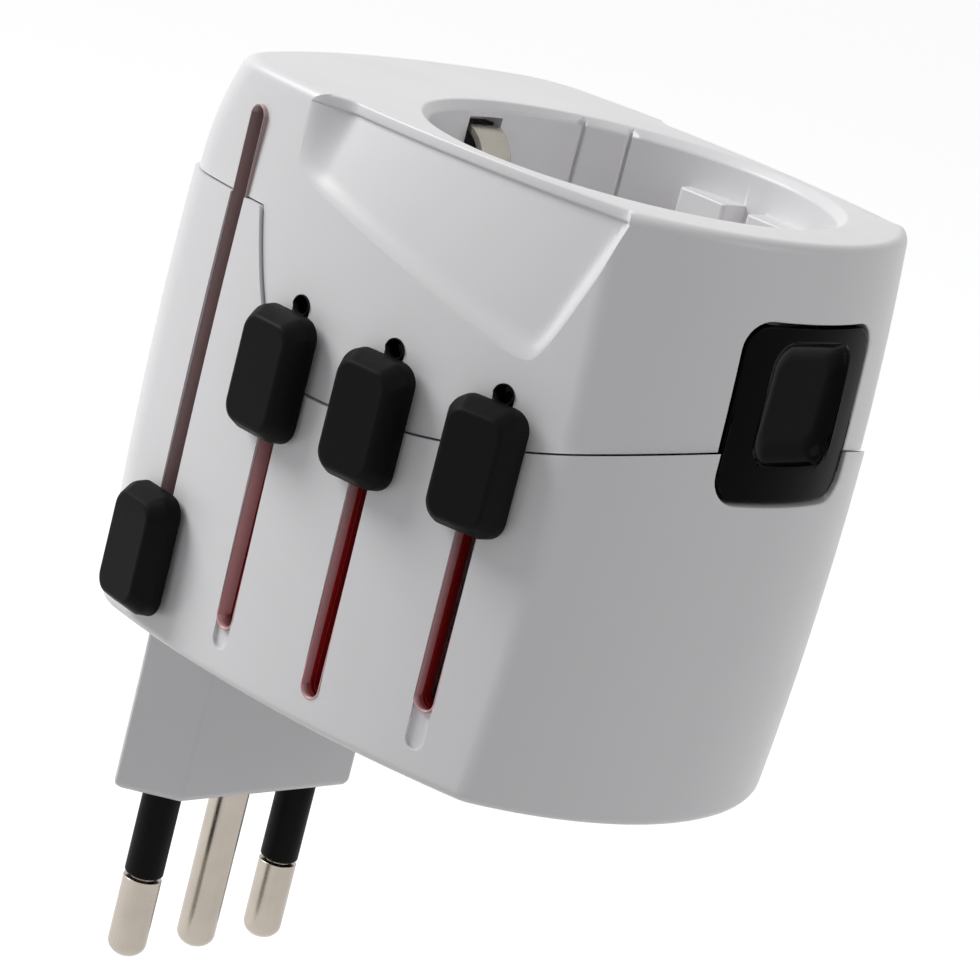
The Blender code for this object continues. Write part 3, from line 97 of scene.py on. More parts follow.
# Socket well
SOCKET_X, WELL_RADIUS = 6.5 * MM, 19.5 * MM
WELL_FLOOR, WELL_UNDER = 38.2 * MM, 36.0 * MM
WELL_WALL, WELL_LIP = 1.0 * MM, 0.8 * MM
PIN_HOLE, PIN_ROW = 5.2 * MM, 9.5 * MM
RIB_WIDTH, RIB_NOTCH, RIB_REACH, RIB_DROP = 15.0 * MM, 2.6 * MM, 3.2 * MM, 4.0 * MM
CLIP_WIDTH, CLIP_SHEET, CLIP_BULGE = 4.0 * MM, 0.8 * MM, 2.2 * MM
CLIP_REACH = WELL_RADIUS - GAP - CLIP_SHEET / 2

# Slots and slide buttons: middle, lower end, upper end, height of the button's middle
SLOTS = (
    (-19.2 * MM, 4.25 * MM, 52.3 * MM, 8.3 * MM),
    (-6.9 * MM, 4.95 * MM, 37.8 * MM, 30.2 * MM),
    (5.4 * MM, 2.95 * MM, 37.8 * MM, 30.2 * MM),
    (17.7 * MM, 6.65 * MM, 37.8 * MM, 30.2 * MM),
)
SLOT_WIDTH = 2.3 * MM
# Slot liners: the outer sheet carries painted shade and painted red bounce light, the dark red sheet deeper in is the
# lips, and a black sheet in the shorter slots' tops is painted shade
LINER_SHEET, LINER_START, LINER_TOP = 0.14 * MM, 0.3 * MM, 35.5 * MM
LINER_TURNS = (2.0 * MM, 1.9 * MM, 1.4 * MM, 1.4 * MM)
RECESS_WIDTH, RECESS_DEPTH, RECESS_TOP = 2.1 * MM, 0.7 * MM, 10.45 * MM
CAP_WIDTH, CAP_HEIGHT, CAP_SHOULDER = 8.0 * MM, 12.2 * MM, 1.8 * MM
FACE_WIDTH, FACE_HEIGHT, CAP_PROUD, CAP_CORNER = 5.8 * MM, 10.0 * MM, 3.4 * MM, 2.0 * MM
STEM_WIDTH, STEM_HEIGHT, STEM_DEPTH = 1.7 * MM, 7.5 * MM, 3.8 * MM

# In-line plug
BLOCK_X, BLOCK_LENGTH, BLOCK_WIDTH = -24.4 * MM, 33.2 * MM, 10.0 * MM
BLOCK_OUT, BLOCK_IN = 19.5 * MM, 11.0 * MM
BLOCK_EDGE = 0.9 * MM
PIN, PIN_CORE, PIN_LENGTH, PIN_ROOT, PIN_DOME = 4.0 * MM, 2.6 * MM, 19.0 * MM, 9.0 * MM, 1.6 * MM
SLEEVE_LENGTH, SLEEVE_ROOT = 10.0 * MM, 2.0 * MM

# Holes of the other plugs in the plug face: middle, size along X, size along Y, turn
BLADE_HOLES = (
    (-16.75 * MM, -7.5 * MM, 1.5 * MM, 6.3 * MM, 0.0),
    (-4.05 * MM, -7.5 * MM, 1.5 * MM, 6.3 * MM, 0.0),
    (0.5 * MM, -11.1 * MM, 4.0 * MM, 6.4 * MM, 0.0),
    (0.5 * MM, 11.1 * MM, 4.0 * MM, 6.4 * MM, 0.0),
    (22.7 * MM, 0.0, 8.0 * MM, 4.0 * MM, 0.0),
    (21.3 * MM, -6.86 * MM, 6.35 * MM, 1.6 * MM, -math.radians(30.0)),
    (21.3 * MM, 6.86 * MM, 6.35 * MM, 1.6 * MM, math.radians(30.0)),
    (7.03 * MM, 0.0, 6.35 * MM, 1.6 * MM, 0.0),
)
ROUND_EARTH = (-10.4 * MM, 4.4 * MM, 2.4 * MM)

# Release button and springs
BUTTON_WIDTH, BUTTON_LOW, BUTTON_HIGH = 17.2 * MM, 32.0 * MM, 48.2 * MM
BUTTON_ROUND, BUTTON_SHEET = 2.4 * MM, 3.4 * MM
SCOOP_WIDTH, SCOOP_DEPTH, SCOOP_LOW, SCOOP_ROUND = 11.0 * MM, 2.0 * MM, 35.4 * MM, 2.2 * MM
SCOOP_FRAME = 1.2 * MM
SEAT_X, SEAT_SHEET, SEAT_WIDTH = 22.0 * MM, 1.5 * MM, 4.0 * MM
SPRING_Y, SPRING_Z, SPRING_RADIUS, SPRING_WIRE = 6.0 * MM, 34.1 * MM, 1.4 * MM, 0.35 * MM
SPRING_TURNS = 5

# Screws
SCREWS = ((-13.0 * MM, -17.5 * MM), (11.0 * MM, -17.5 * MM), (11.0 * MM, 19.2 * MM), (-13.0 * MM, 17.0 * MM))
SCREW_SHANK, SCREW_HEAD, SCREW_HEAD_HEIGHT, SCREW_TOP = 2.4 * MM, 4.4 * MM, 1.6 * MM, 33.5 * MM
POST, POST_SPLIT = 5.0 * MM, 27.0 * MM

# View that the photograph was taken from
VIEW_TURN, VIEW_RISE, VIEW_ROLL = math.radians(40.861), math.radians(14.503), math.radians(14.557)
VIEW_PLACE = (0.23624, -0.27378, 0.11428)
VIEW_LENS = 143.07
FLOOR_Z = -0.22


class AdapterSizes(bpy.types.PropertyGroup):
    """Sizes of the details that the dressing adds."""

    shell_edge: FloatProperty(
        name="Shell edge", description="Rounding of the edges cut into the shells",
        default=0.22 * MM, min=0.02 * MM, max=0.6 * MM, precision=5, subtype="DISTANCE", unit="LENGTH")
    cap_edge: FloatProperty(
        name="Slide button edge", description="Rounding of the slide buttons' edges",
        default=0.3 * MM, min=0.05 * MM, max=0.9 * MM, precision=5, subtype="DISTANCE", unit="LENGTH")
    release_edge: FloatProperty(
        name="Release button edge", description="Rounding of the release button's edges",
        default=0.2 * MM, min=0.05 * MM, max=0.8 * MM, precision=5, subtype="DISTANCE", unit="LENGTH")
    inner_edge: FloatProperty(
        name="Inner edge", description="Rounding of the edges of carriages, blades and bars",
        default=0.12 * MM, min=0.02 * MM, max=0.3 * MM, precision=5, subtype="DISTANCE", unit="LENGTH")
    slit_width: FloatProperty(
        name="Well slit", description="Width of the two upright slits in the socket well's wall",
        default=0.3 * MM, min=0.1 * MM, max=1.0 * MM, precision=5, subtype="DISTANCE", unit="LENGTH")


class AdapterColours(bpy.types.PropertyGroup):
    """Colours of the finishes."""

    white: FloatVectorProperty(
        name="Shell white", description="Moulded plastic of the shells and the plug block",
        default=(0.80, 0.79, 0.80), size=3, min=0.0, max=1.0, subtype="COLOR")
    grip: FloatVectorProperty(
        name="Grip black", description="Fine matt plastic of the slide buttons and pin sleeves",
        default=(0.0034, 0.0033, 0.0032), size=3, min=0.0, max=1.0, subtype="COLOR")
    gloss: FloatVectorProperty(
        name="Gloss black", description="Polished plastic of the release button",
        default=(0.0020, 0.0020, 0.0019), size=3, min=0.0, max=1.0, subtype="COLOR")
    red: FloatVectorProperty(
        name="Slide red", description="Dark red plastic behind the slots",
        default=(0.42, 0.012, 0.016), size=3, min=0.0, max=1.0, subtype="COLOR")
    # The slot wall tones are painted shade on the slots' white inner walls, tinted by painted red bounce light from the
    # red panel; rosier in the shorter slots
    slot_painted_shade: FloatVectorProperty(
        name="Slot painted shade", description="Painted shade, with a little painted red bounce light, on the long slot's inner walls",
        default=(0.42, 0.30, 0.30), size=3, min=0.0, max=1.0, subtype="COLOR")
    slot_painted_shade_and_bounce: FloatVectorProperty(
        name="Slot painted shade and bounce", description="Painted shade and painted red bounce light on the shorter slots' inner walls",
        default=(0.68, 0.40, 0.41), size=3, min=0.0, max=1.0, subtype="COLOR")
    # The nickel is darker than bright plating: painted dark reflection that stands in for the darker surroundings the
    # pins reflect
    nickel: FloatVectorProperty(
        name="Nickel", description="Warm nickel plating of the pins",
        default=(0.43, 0.385, 0.335), size=3, min=0.0, max=1.0, subtype="COLOR")
    brass: FloatVectorProperty(
        name="Brass", description="Brass of the blades, contacts and bars",
        default=(0.72, 0.52, 0.24), size=3, min=0.0, max=1.0, subtype="COLOR")
    steel: FloatVectorProperty(
        name="Spring steel", description="Spring steel of the clip, springs and screws",
        default=(0.36, 0.34, 0.30), size=3, min=0.0, max=1.0, subtype="COLOR")


# Mesh tools

SEAMS = ("plain", "dish", "parting", "slot")


def solid(name, bm):
    """An object from a bmesh, its doubles merged and its faces turned outwards."""
    bmesh.ops.remove_doubles(bm, verts=bm.verts, dist=0.5e-6)
    bmesh.ops.recalc_face_normals(bm, faces=bm.faces)
    mesh = bpy.data.meshes.new(name)
    for _ in SEAMS:
        mesh.materials.append(None)
    bm.to_mesh(mesh)
    bm.free()
    piece = bpy.data.objects.new(name, mesh)
    bpy.context.scene.collection.objects.link(piece)
    return piece


def seamed(piece, seam):
    """Marks the faces that a tool will leave, so that the seam they make can be told apart."""
    for face in piece.data.polygons:
        face.material_index = SEAMS.index(seam)
    return piece


def discard(piece):
    mesh = piece.data
    bpy.data.objects.remove(piece)
    bpy.data.meshes.remove(mesh)


def combine(piece, operation, tools):
    """Cuts tools out of a piece, joins them on or keeps what is common, and leaves a plain mesh."""
    for tool in tools:
        step = piece.modifiers.new("step", "BOOLEAN")
        step.operation = operation
        step.solver = "EXACT"
        step.object = tool
    bpy.context.view_layer.update()
    worked = piece.evaluated_get(bpy.context.evaluated_depsgraph_get())
    mesh = bpy.data.meshes.new_from_object(worked)
    piece.modifiers.clear()
    old = piece.data
    piece.data = mesh
    bpy.data.meshes.remove(old)
    mesh.name = piece.name
    for tool in tools:
        discard(tool)
    return piece


def cut(piece, *tools):
    return combine(piece, "DIFFERENCE", tools)


def push(bm, offset):
    """Gives the faces in a bmesh thickness along an offset."""
    made = bmesh.ops.extrude_face_region(bm, geom=bm.faces[:])["geom"]
    bmesh.ops.translate(bm, vec=offset, verts=[v for v in made if isinstance(v, bmesh.types.BMVert)])


def drawn_on(bm, front):
    """Extrudes a form's end face and gives the new end with its corners; the old end opens up."""
    edges = list({edge for face in front for edge in face.edges})
    made = bmesh.ops.extrude_face_region(bm, geom=front + edges)["geom"]
    return [f for f in made if isinstance(f, bmesh.types.BMFace)], [v for v in made if isinstance(v, bmesh.types.BMVert)]


def block(name, low, high, round_edges=0.0):
    bm = bmesh.new()
    bmesh.ops.create_cube(bm, size=1.0)
    bmesh.ops.scale(bm, vec=Vector(high) - Vector(low), verts=bm.verts)
    bmesh.ops.translate(bm, vec=(Vector(high) + Vector(low)) / 2, verts=bm.verts)
    if round_edges:
        upright = [e for e in bm.edges if abs(e.verts[0].co.z - e.verts[1].co.z) > GAP]
        bmesh.ops.bevel(bm, geom=upright, offset=round_edges, affect="EDGES", segments=4, profile=0.5,
                        material=-1, clamp_overlap=True)
    return solid(name, bm)


def rod(name, radius, low, high, x, y, sides=64):
    bm = bmesh.new()
    bmesh.ops.create_circle(bm, cap_ends=True, segments=sides, radius=radius)
    bmesh.ops.translate(bm, vec=(x, y, low), verts=bm.verts)
    push(bm, (0.0, 0.0, high - low))
    return solid(name, bm)


def column(name, corners, low, high):
    """An upright solid on a plan of corners."""
    bm = bmesh.new()
    bm.faces.new([bm.verts.new((x, y, low)) for x, y in corners])
    push(bm, (0.0, 0.0, high - low))
    return solid(name, bm)


def turned(name, profile, x, y, sides=96):
    """A profile of (radius, height) points spun about an upright axis."""
    bm = bmesh.new()
    verts = [bm.verts.new((x + r, y, z)) for r, z in profile]
    edges = [bm.edges.new(pair) for pair in zip(verts, verts[1:])]
    if profile[0][0] > 0:
        edges.append(bm.edges.new((verts[-1], verts[0])))
    bmesh.ops.spin(bm, geom=verts + edges, cent=(x, y, 0.0), axis=(0.0, 0.0, 1.0), angle=math.tau,
                   steps=sides, use_merge=True)
    return solid(name, bm)


def rounded_plate(width, height, radius, segments=6):
    """A bmesh of one upright face in XZ with round corners, about the origin."""
    bm = bmesh.new()
    stand = Matrix.Rotation(math.pi / 2, 4, "X") @ Matrix.Diagonal((width, height, 1.0, 1.0))
    bmesh.ops.create_grid(bm, x_segments=1, y_segments=1, size=0.5, matrix=stand)
    bmesh.ops.bevel(bm, geom=bm.verts[:], offset=radius, affect="VERTICES", segments=segments, profile=0.5,
                    material=-1, clamp_overlap=True)
    return bm


def together(name, tools):
    """Tools that don't touch each other, as one."""
    bm = bmesh.new()
    for tool in tools:
        bm.from_mesh(tool.data)
        discard(tool)
    mesh = bpy.data.meshes.new(name)
    for _ in SEAMS:
        mesh.materials.append(None)
    bm.to_mesh(mesh)
    bm.free()
    whole = bpy.data.objects.new(name, mesh)
    bpy.context.scene.collection.objects.link(whole)
    return whole


def rings_bridged(bm, rings):
    """Bridges neighbouring closed rings of edges and closes both ends."""
    for lower, upper in zip(rings, rings[1:]):
        bmesh.ops.bridge_loops(bm, edges=lower + upper)
    bmesh.ops.contextual_create(bm, geom=rings[0])
    bmesh.ops.contextual_create(bm, geom=rings[-1])


def ring_of(bm, points):
    verts = [bm.verts.new(p) for p in points]
    return [bm.edges.new(pair) for pair in zip(verts, verts[1:] + verts[:1])]


# Barrel form


def meeting(a, radius_a, b, radius_b, to_right):
    """Where two circles meet, towards one end."""
    a, b = Vector(a), Vector(b)
    span = (b - a).length
    along = (radius_a**2 - radius_b**2 + span**2) / (2 * span)
    across = math.sqrt(radius_a**2 - along**2)
    axis = (b - a) / span
    normal = Vector((-axis.y, axis.x))
    found = [a + axis * along + normal * across, a + axis * along - normal * across]
    return max(found, key=lambda p: p.x) if to_right else min(found, key=lambda p: p.x)


def bearing(centre, point):
    angle = math.atan2(point[1] - centre[1], point[0] - centre[0])
    return angle if angle <= 0 else angle - math.tau


def plan_arcs(side_inset, end_inset, trim, fine):
    """The arcs of half the barrel's outline from the button end: centre, turn and steps of each."""
    side = (SIDE_CREST, SIDE_RADIUS - DEPTH / 2)
    right = (LENGTH / 2 - BUTTON_END_RADIUS, 0.0)
    left = (PLUG_END_RADIUS - LENGTH / 2 + trim, 0.0)
    round_r = max(BUTTON_CORNER_ROUND - side_inset, RIM_ROUND)
    round_l = max(PLUG_CORNER_ROUND - side_inset, RIM_ROUND)
    side_r = SIDE_RADIUS - side_inset
    right_r, left_r = BUTTON_END_RADIUS - end_inset, PLUG_END_RADIUS - end_inset
    corner_r = meeting(side, side_r - round_r, right, right_r - round_r, True)
    corner_l = meeting(side, side_r - round_l, left, left_r - round_l, False)
    start, end = bearing(side, corner_r), bearing(side, corner_l)
    at_right, at_left = bearing(right, corner_r), bearing(left, corner_l)
    arcs = ((right, at_right, 20), (corner_r, start - at_right, 10), (side, end - start, 56),
            (corner_l, at_left - end, 14), (left, -math.pi - at_left, 14))
    return right[0] + right_r, [(c, turn, max(3, round(steps * fine))) for c, turn, steps in arcs]


def outline_ring(bm, z, side_inset, end_inset, trim, fine=1.0):
    """One closed outline of the barrel at a height: arcs spun on from the last point, then mirrored."""
    start_x, arcs = plan_arcs(side_inset, end_inset, trim, fine)
    last = bm.verts.new((start_x, 0.0, z))
    for centre, turn, steps in arcs:
        spun = bmesh.ops.spin(bm, geom=[last], cent=(centre[0], centre[1], z), axis=(0.0, 0.0, 1.0),
                              angle=turn, steps=steps)
        last = next(v for v in spun["geom_last"] if isinstance(v, bmesh.types.BMVert))
    last.co.y = 0.0
    run = [v for v in bm.verts if not v.tag] + [e for e in bm.edges if not e.tag]
    bmesh.ops.mirror(bm, geom=run, axis="Y", merge_dist=0.001 * MM)
    ring = [e for e in bm.edges if not e.tag]
    for part in ring + [v for v in bm.verts if not v.tag]:
        part.tag = True
    return ring


def taper(z, amount):
    reach = WIDEST if z < WIDEST else TOP - WIDEST
    return amount * ((z - WIDEST) / reach) ** 2


def end_trim(z):
    return TRIM * max(0.0, 1 - (TOP - z) / TRIM_DROP) ** 2


def barrel(name, low, high, inset=0.0):
    """The barrel between two heights, with a rounded rim where it reaches its own flat faces."""
    levels = []
    if low <= 0:
        levels += [(RIM_ROUND * (1 - math.cos(t)), RIM_ROUND * (1 - math.sin(t))) for t in rim_turns()]
        low = RIM_ROUND
    last = TOP - RIM_ROUND if high >= TOP else high
    count = max(2, round((last - low) / ROW))
    levels += [(low + (last - low) * i / count, 0.0) for i in range(count + 1)]
    if high >= TOP:
        rim = [(TOP - RIM_ROUND * (1 - math.cos(t)), RIM_ROUND * (1 - math.sin(t))) for t in rim_turns()]
        levels += rim[::-1]
    bm = bmesh.new()
    rings = [outline_ring(bm, z, taper(z, SIDE_TAPER) + inset + edge, taper(z, END_TAPER) + inset + edge,
                          end_trim(z)) for z, edge in levels]
    rings_bridged(bm, rings)
    return solid(name, bm)


def rim_turns():
    return [i * math.pi / 12 for i in range(6)]


def hollow(name, low, high, trim=0.0):
    """The room inside the walls, as an upright solid."""
    bm = bmesh.new()
    ring = outline_ring(bm, low, SIDE_WALL, END_WALL, trim, 0.5)
    bmesh.ops.contextual_create(bm, geom=ring)
    push(bm, (0.0, 0.0, high - low))
    return solid(name, bm)


def side_y(x, inset=0.0):
    return SIDE_RADIUS - DEPTH / 2 - math.sqrt((SIDE_RADIUS - inset) ** 2 - (x - SIDE_CREST) ** 2)


def side_frame(x):
    """A frame on the slider side whose -Y points straight out of the surface."""
    turn = math.asin((x - SIDE_CREST) / SIDE_RADIUS)
    return Matrix.Translation((x, side_y(x), 0.0)) @ Matrix.Rotation(turn, 4, "Z")


def parting(x):
    if x < PARTING_STEP_X:
        return PARTING_HIGH
    if x < PARTING_LOW_X:
        share = (PARTING_LOW_X - x) / (PARTING_LOW_X - PARTING_STEP_X)
        return PARTING_LOW + (PARTING_HIGH - PARTING_LOW) * share**PARTING_POWER
    return PARTING_LOW + PARTING_RISE * ((x - PARTING_LOW_X) / (LENGTH / 2 - PARTING_LOW_X)) ** 2


def curtain(name, gap, limit):
    """Everything on one side of the parting line, a gap above it."""
    reach, near, count = LENGTH / 2 + OVER, -DEPTH / 2 - OVER, 84
    path = [(x, PARTING_HIGH + gap) for x in ([-reach, PARTING_STEP_X] if gap else [-reach])]
    for i in range(count + 1):
        x = PARTING_STEP_X + (reach - PARTING_STEP_X) * i / count
        slope = (parting(x + GAP) - parting(x)) / GAP
        long = math.hypot(1.0, slope)
        path.append((x - gap * slope / long, parting(x) + gap / long))
    bm = bmesh.new()
    bm.faces.new([bm.verts.new((x, near, z)) for x, z in path + [(reach, limit), (-reach, limit)]])
    push(bm, (0.0, -2 * near, 0.0))
    return solid(name, bm)


def slot_outline(low, high, width):
    """A bmesh of one upright face in XZ with round ends: a circle whose upper half is drawn up."""
    bm = bmesh.new()
    bmesh.ops.create_circle(bm, cap_ends=True, segments=48, radius=width / 2,
                            matrix=Matrix.Rotation(math.pi / 2, 4, "X"))
    upper = [v for v in bm.verts if v.co.z > 0.01 * MM]
    lower = [v for v in bm.verts if v.co.z <= 0.01 * MM]
    bmesh.ops.translate(bm, vec=(0.0, 0.0, high - width / 2), verts=upper)
    bmesh.ops.translate(bm, vec=(0.0, 0.0, low + width / 2), verts=lower)
    return bm


def slot_tool(name, x, low, high, depth, width):
    """A slot with round ends, straight into the slider side."""
    bm = slot_outline(low, high, width)
    bmesh.ops.translate(bm, vec=(0.0, -OVER, 0.0), verts=bm.verts)
    push(bm, (0.0, depth + OVER, 0.0))
    bmesh.ops.transform(bm, matrix=side_frame(x), verts=bm.verts)
    return seamed(solid(name, bm), "slot")


def slots(label):
    return [slot_tool(f"{label}_{i}", x, low, high, SIDE_WALL + GAP, SLOT_WIDTH)
            for i, (x, low, high, _) in enumerate(SLOTS)]


def eased(value):
    """A smooth step from zero to one."""
    share = min(1.0, max(0.0, value))
    return share * share * (3 - 2 * share)


def dish_fall(x):
    return DISH_LEFT_Z + (DISH_APEX_Z - DISH_LEFT_Z) * (x - DISH_LEFT) / (DISH_APEX - DISH_LEFT)


def dish_edge(x, wall):
    """The dish's lower edge: a long fall and a steep rise that meet in a round corner."""
    fall = dish_fall(x) - wall
    rise = DISH_APEX_Z + DISH_SLOPE * (x - wall - DISH_APEX)
    return (fall + rise) / 2 + math.hypot((fall - rise) / 2, DISH_CORNER)


def dish_section(x, wall, rows):
    """The dish's section at one place along the side, as (y, z) points with y towards the inside."""
    edge = dish_edge(x, wall)
    band = DISH_BAND * math.hypot(1.0, (dish_edge(x + GAP, wall) - edge) / GAP)
    high = TOP + 2 * OVER + DISH_SLOPE * OVER
    lip = max(TOP - DISH_LIP_HEIGHT, edge + GAP)
    out = -DEPTH / 2 - OVER
    share = eased((x - DISH_LEFT) / DISH_LEFT_WALL)
    along = (x - DISH_LEFT) / (DISH_RIGHT - DISH_LEFT)
    rim = share * (DISH_DEPTH + (DISH_RIGHT_DEPTH - DISH_DEPTH) * along)
    low = dish_fall(x) - DISH_SINK * along**3
    ledge = DISH_LIP * share * min(1.0, (lip - edge) / band)
    heights = [(edge + (lip - edge) * i / rows, 0.0) for i in range(rows + 1)]
    floor = []
    for z, proud in heights + [(lip, ledge), (high, ledge)]:
        level = min(z, TOP)
        deep = rim * eased((level - edge) / band) * (level - low) / (TOP - low)
        surface = side_y(x, STEP_IN + taper(z, SIDE_TAPER))
        floor.append((surface + wall + deep - DISH_RUN_OUT - proud, z))
    return [(out, edge)] + floor + [(out, high)]


def dish_tool(name, side, wall, count, rows):
    right = DISH_RIGHT + wall + OVER / 2
    stations = [DISH_LEFT + (right - DISH_LEFT) * i / count for i in range(count + 1)]
    bm = bmesh.new()
    rings = [ring_of(bm, [(x, side * -y, z) for y, z in dish_section(x, wall, rows)]) for x in stations]
    rings_bridged(bm, rings)
    bmesh.ops.triangulate(bm, faces=bm.faces[:])
    return solid(name, bm)


def hexagon(margin):
    half_length, half_width = BLOCK_LENGTH / 2 + margin * math.sqrt(2), BLOCK_WIDTH / 2 + margin
    flat = half_length - half_width
    return [(BLOCK_X + half_width, -flat), (BLOCK_X + half_width, flat), (BLOCK_X, half_length),
            (BLOCK_X - half_width, flat), (BLOCK_X - half_width, -flat), (BLOCK_X, -half_length)]


def button_tool(name, margin, low_x, high_x):
    """The release button's outline pushed along X."""
    bm = rounded_plate(BUTTON_WIDTH + 2 * margin, BUTTON_HIGH - BUTTON_LOW + 2 * margin, BUTTON_ROUND + margin, 8)
    bmesh.ops.rotate(bm, cent=(0, 0, 0), matrix=Matrix.Rotation(math.pi / 2, 3, "Z"), verts=bm.verts)
    bmesh.ops.translate(bm, vec=(low_x, 0.0, (BUTTON_LOW + BUTTON_HIGH) / 2), verts=bm.verts)
    push(bm, (high_x - low_x, 0.0, 0.0))
    return solid(name, bm)


# Finishes


def new_group(name, inputs, outputs):
    group = bpy.data.node_groups.new(name, "ShaderNodeTree")
    for label, default in inputs:
        socket = group.interface.new_socket(label, in_out="INPUT", socket_type="NodeSocketFloat")
        socket.default_value = default
    for label in outputs:
        group.interface.new_socket(label, in_out="OUTPUT", socket_type="NodeSocketFloat")
    return group, group.nodes.new("NodeGroupInput"), group.nodes.new("NodeGroupOutput")


def noise(tree, vector, scale, detail, roughness=0.5):
    node = tree.nodes.new("ShaderNodeTexNoise")
    node.inputs["Detail"].default_value = detail
    node.inputs["Roughness"].default_value = roughness
    if isinstance(scale, (int, float)):
        node.inputs["Scale"].default_value = scale
    else:
        tree.links.new(scale, node.inputs["Scale"])
    tree.links.new(vector, node.inputs["Vector"])
    return node.outputs["Fac"]


def remap(tree, value, low, high, to_low, to_high):
    node = tree.nodes.new("ShaderNodeMapRange")
    for label, amount in (("From Min", low), ("From Max", high), ("To Min", to_low), ("To Max", to_high)):
        node.inputs[label].default_value = amount
    tree.links.new(value, node.inputs["Value"])
    return node.outputs["Result"]


def sums(tree, operation, first, second):
    node = tree.nodes.new("ShaderNodeMath")
    node.operation = operation
    for socket, value in zip(node.inputs, (first, second)):
        if isinstance(value, (int, float)):
            socket.default_value = value
        else:
            tree.links.new(value, socket)
    return node.outputs["Value"]


def moulded_grain():
    """Spark-eroded mould texture: fine pits, and the slow unevenness of a moulded wall."""
    group, given, out = new_group("Moulded grain", (("Grains per metre", 4200.0),), ("Height", "Tone"))
    place = group.nodes.new("ShaderNodeTexCoord").outputs["Object"]
    fine = noise(group, place, given.outputs["Grains per metre"], 3.0, 0.6)
    slow = noise(group, place, 55.0, 2.0)
    group.links.new(sums(group, "ADD", fine, sums(group, "MULTIPLY", slow, 1.5)), out.inputs["Height"])
    group.links.new(sums(group, "ADD", sums(group, "MULTIPLY", fine, 0.35), sums(group, "MULTIPLY", slow, 0.65)),
                    out.inputs["Tone"])
    return group


def handling_marks():
    """Where fingers have rubbed: cloudy patches and a few fine scratches."""
    group, given, out = new_group("Handling marks", (("Patches per metre", 90.0),), ("Rub", "Scratch"))
    place = group.nodes.new("ShaderNodeTexCoord").outputs["Object"]
    patches = noise(group, place, given.outputs["Patches per metre"], 4.0, 0.62)
    group.links.new(remap(group, patches, 0.4, 0.7, 0.0, 1.0), out.inputs["Rub"])
    turn = group.nodes.new("ShaderNodeMapping")
    turn.inputs["Rotation"].default_value = (0.4, 0.7, 0.3)
    turn.inputs["Scale"].default_value = (30.0, 900.0, 900.0)
    group.links.new(place, turn.inputs["Vector"])
    streaks = noise(group, turn.outputs["Vector"], 1.0, 1.0)
    group.links.new(remap(group, streaks, 0.70, 0.76, 0.0, 1.0), out.inputs["Scratch"])
    return group


def drawn_lines():
    """Fine lines along the length of a drawn or turned metal part, and its cloudy plating."""
    group, given, out = new_group("Drawn lines", (("Lines per metre", 5000.0), ("Along", 150.0)), ("Height", "Cloud"))
    place = group.nodes.new("ShaderNodeTexCoord").outputs["Object"]
    split = group.nodes.new("ShaderNodeSeparateXYZ")
    join = group.nodes.new("ShaderNodeCombineXYZ")
    group.links.new(place, split.inputs["Vector"])
    for axis, given_name in (("X", "Lines per metre"), ("Y", "Lines per metre"), ("Z", "Along")):
        group.links.new(sums(group, "MULTIPLY", split.outputs[axis], given.outputs[given_name]), join.inputs[axis])
    group.links.new(noise(group, join.outputs["Vector"], 1.0, 2.0), out.inputs["Height"])
    group.links.new(noise(group, place, 260.0, 3.0), out.inputs["Cloud"])
    return group


def place_group(tree, group, **values):
    node = tree.nodes.new("ShaderNodeGroup")
    node.node_tree = group
    for label, value in values.items():
        node.inputs[label.replace("_", " ").capitalize()].default_value = value
    return node


def start_material(name):
    material = bpy.data.materials.new(name)
    material.use_nodes = True
    return material, material.node_tree, material.node_tree.nodes["Principled BSDF"]


def shade(tree, shader, mask, dark, light):
    """Base colour between two tones by a mask."""
    mix = tree.nodes.new("ShaderNodeMix")
    mix.data_type = "RGBA"
    sockets = [s for s in mix.inputs if s.type == "RGBA"]
    sockets[0].default_value = (*dark, 1.0)
    sockets[1].default_value = (*light, 1.0)
    tree.links.new(mask, mix.inputs["Factor"])
    tree.links.new(next(s for s in mix.outputs if s.type == "RGBA"), shader.inputs["Base Color"])


def bump(tree, shader, height, strength, distance):
    node = tree.nodes.new("ShaderNodeBump")
    node.inputs["Strength"].default_value = strength
    node.inputs["Distance"].default_value = distance
    tree.links.new(height, node.inputs["Height"])
    tree.links.new(node.outputs["Normal"], shader.inputs["Normal"])


def toned(colour, factor):
    return tuple(min(1.0, c * factor) for c in colour)


def plastic(name, groups, colour, rough, grain, depth, spread, specular=0.5, coat=0.0):
    """A moulded plastic whose tone, sheen and surface follow its grain and the marks of handling."""
    material, tree, shader = start_material(name)
    texture = place_group(tree, groups["grain"], grains_per_metre=grain)
    marks = place_group(tree, groups["marks"])
    shade(tree, shader, texture.outputs["Tone"], toned(colour, 1.0 - spread), toned(colour, 1.0 + spread))
    sheen = sums(tree, "ADD", remap(tree, marks.outputs["Rub"], 0.0, 1.0, rough[0], rough[1]),
                 sums(tree, "MULTIPLY", marks.outputs["Scratch"], 0.06))
    tree.links.new(sheen, shader.inputs["Roughness"])
    bump(tree, shader, texture.outputs["Height"], 1.0, depth)
    shader.inputs["Specular IOR Level"].default_value = specular
    shader.inputs["Coat Weight"].default_value = coat
    shader.inputs["Coat Roughness"].default_value = 0.06
    return material


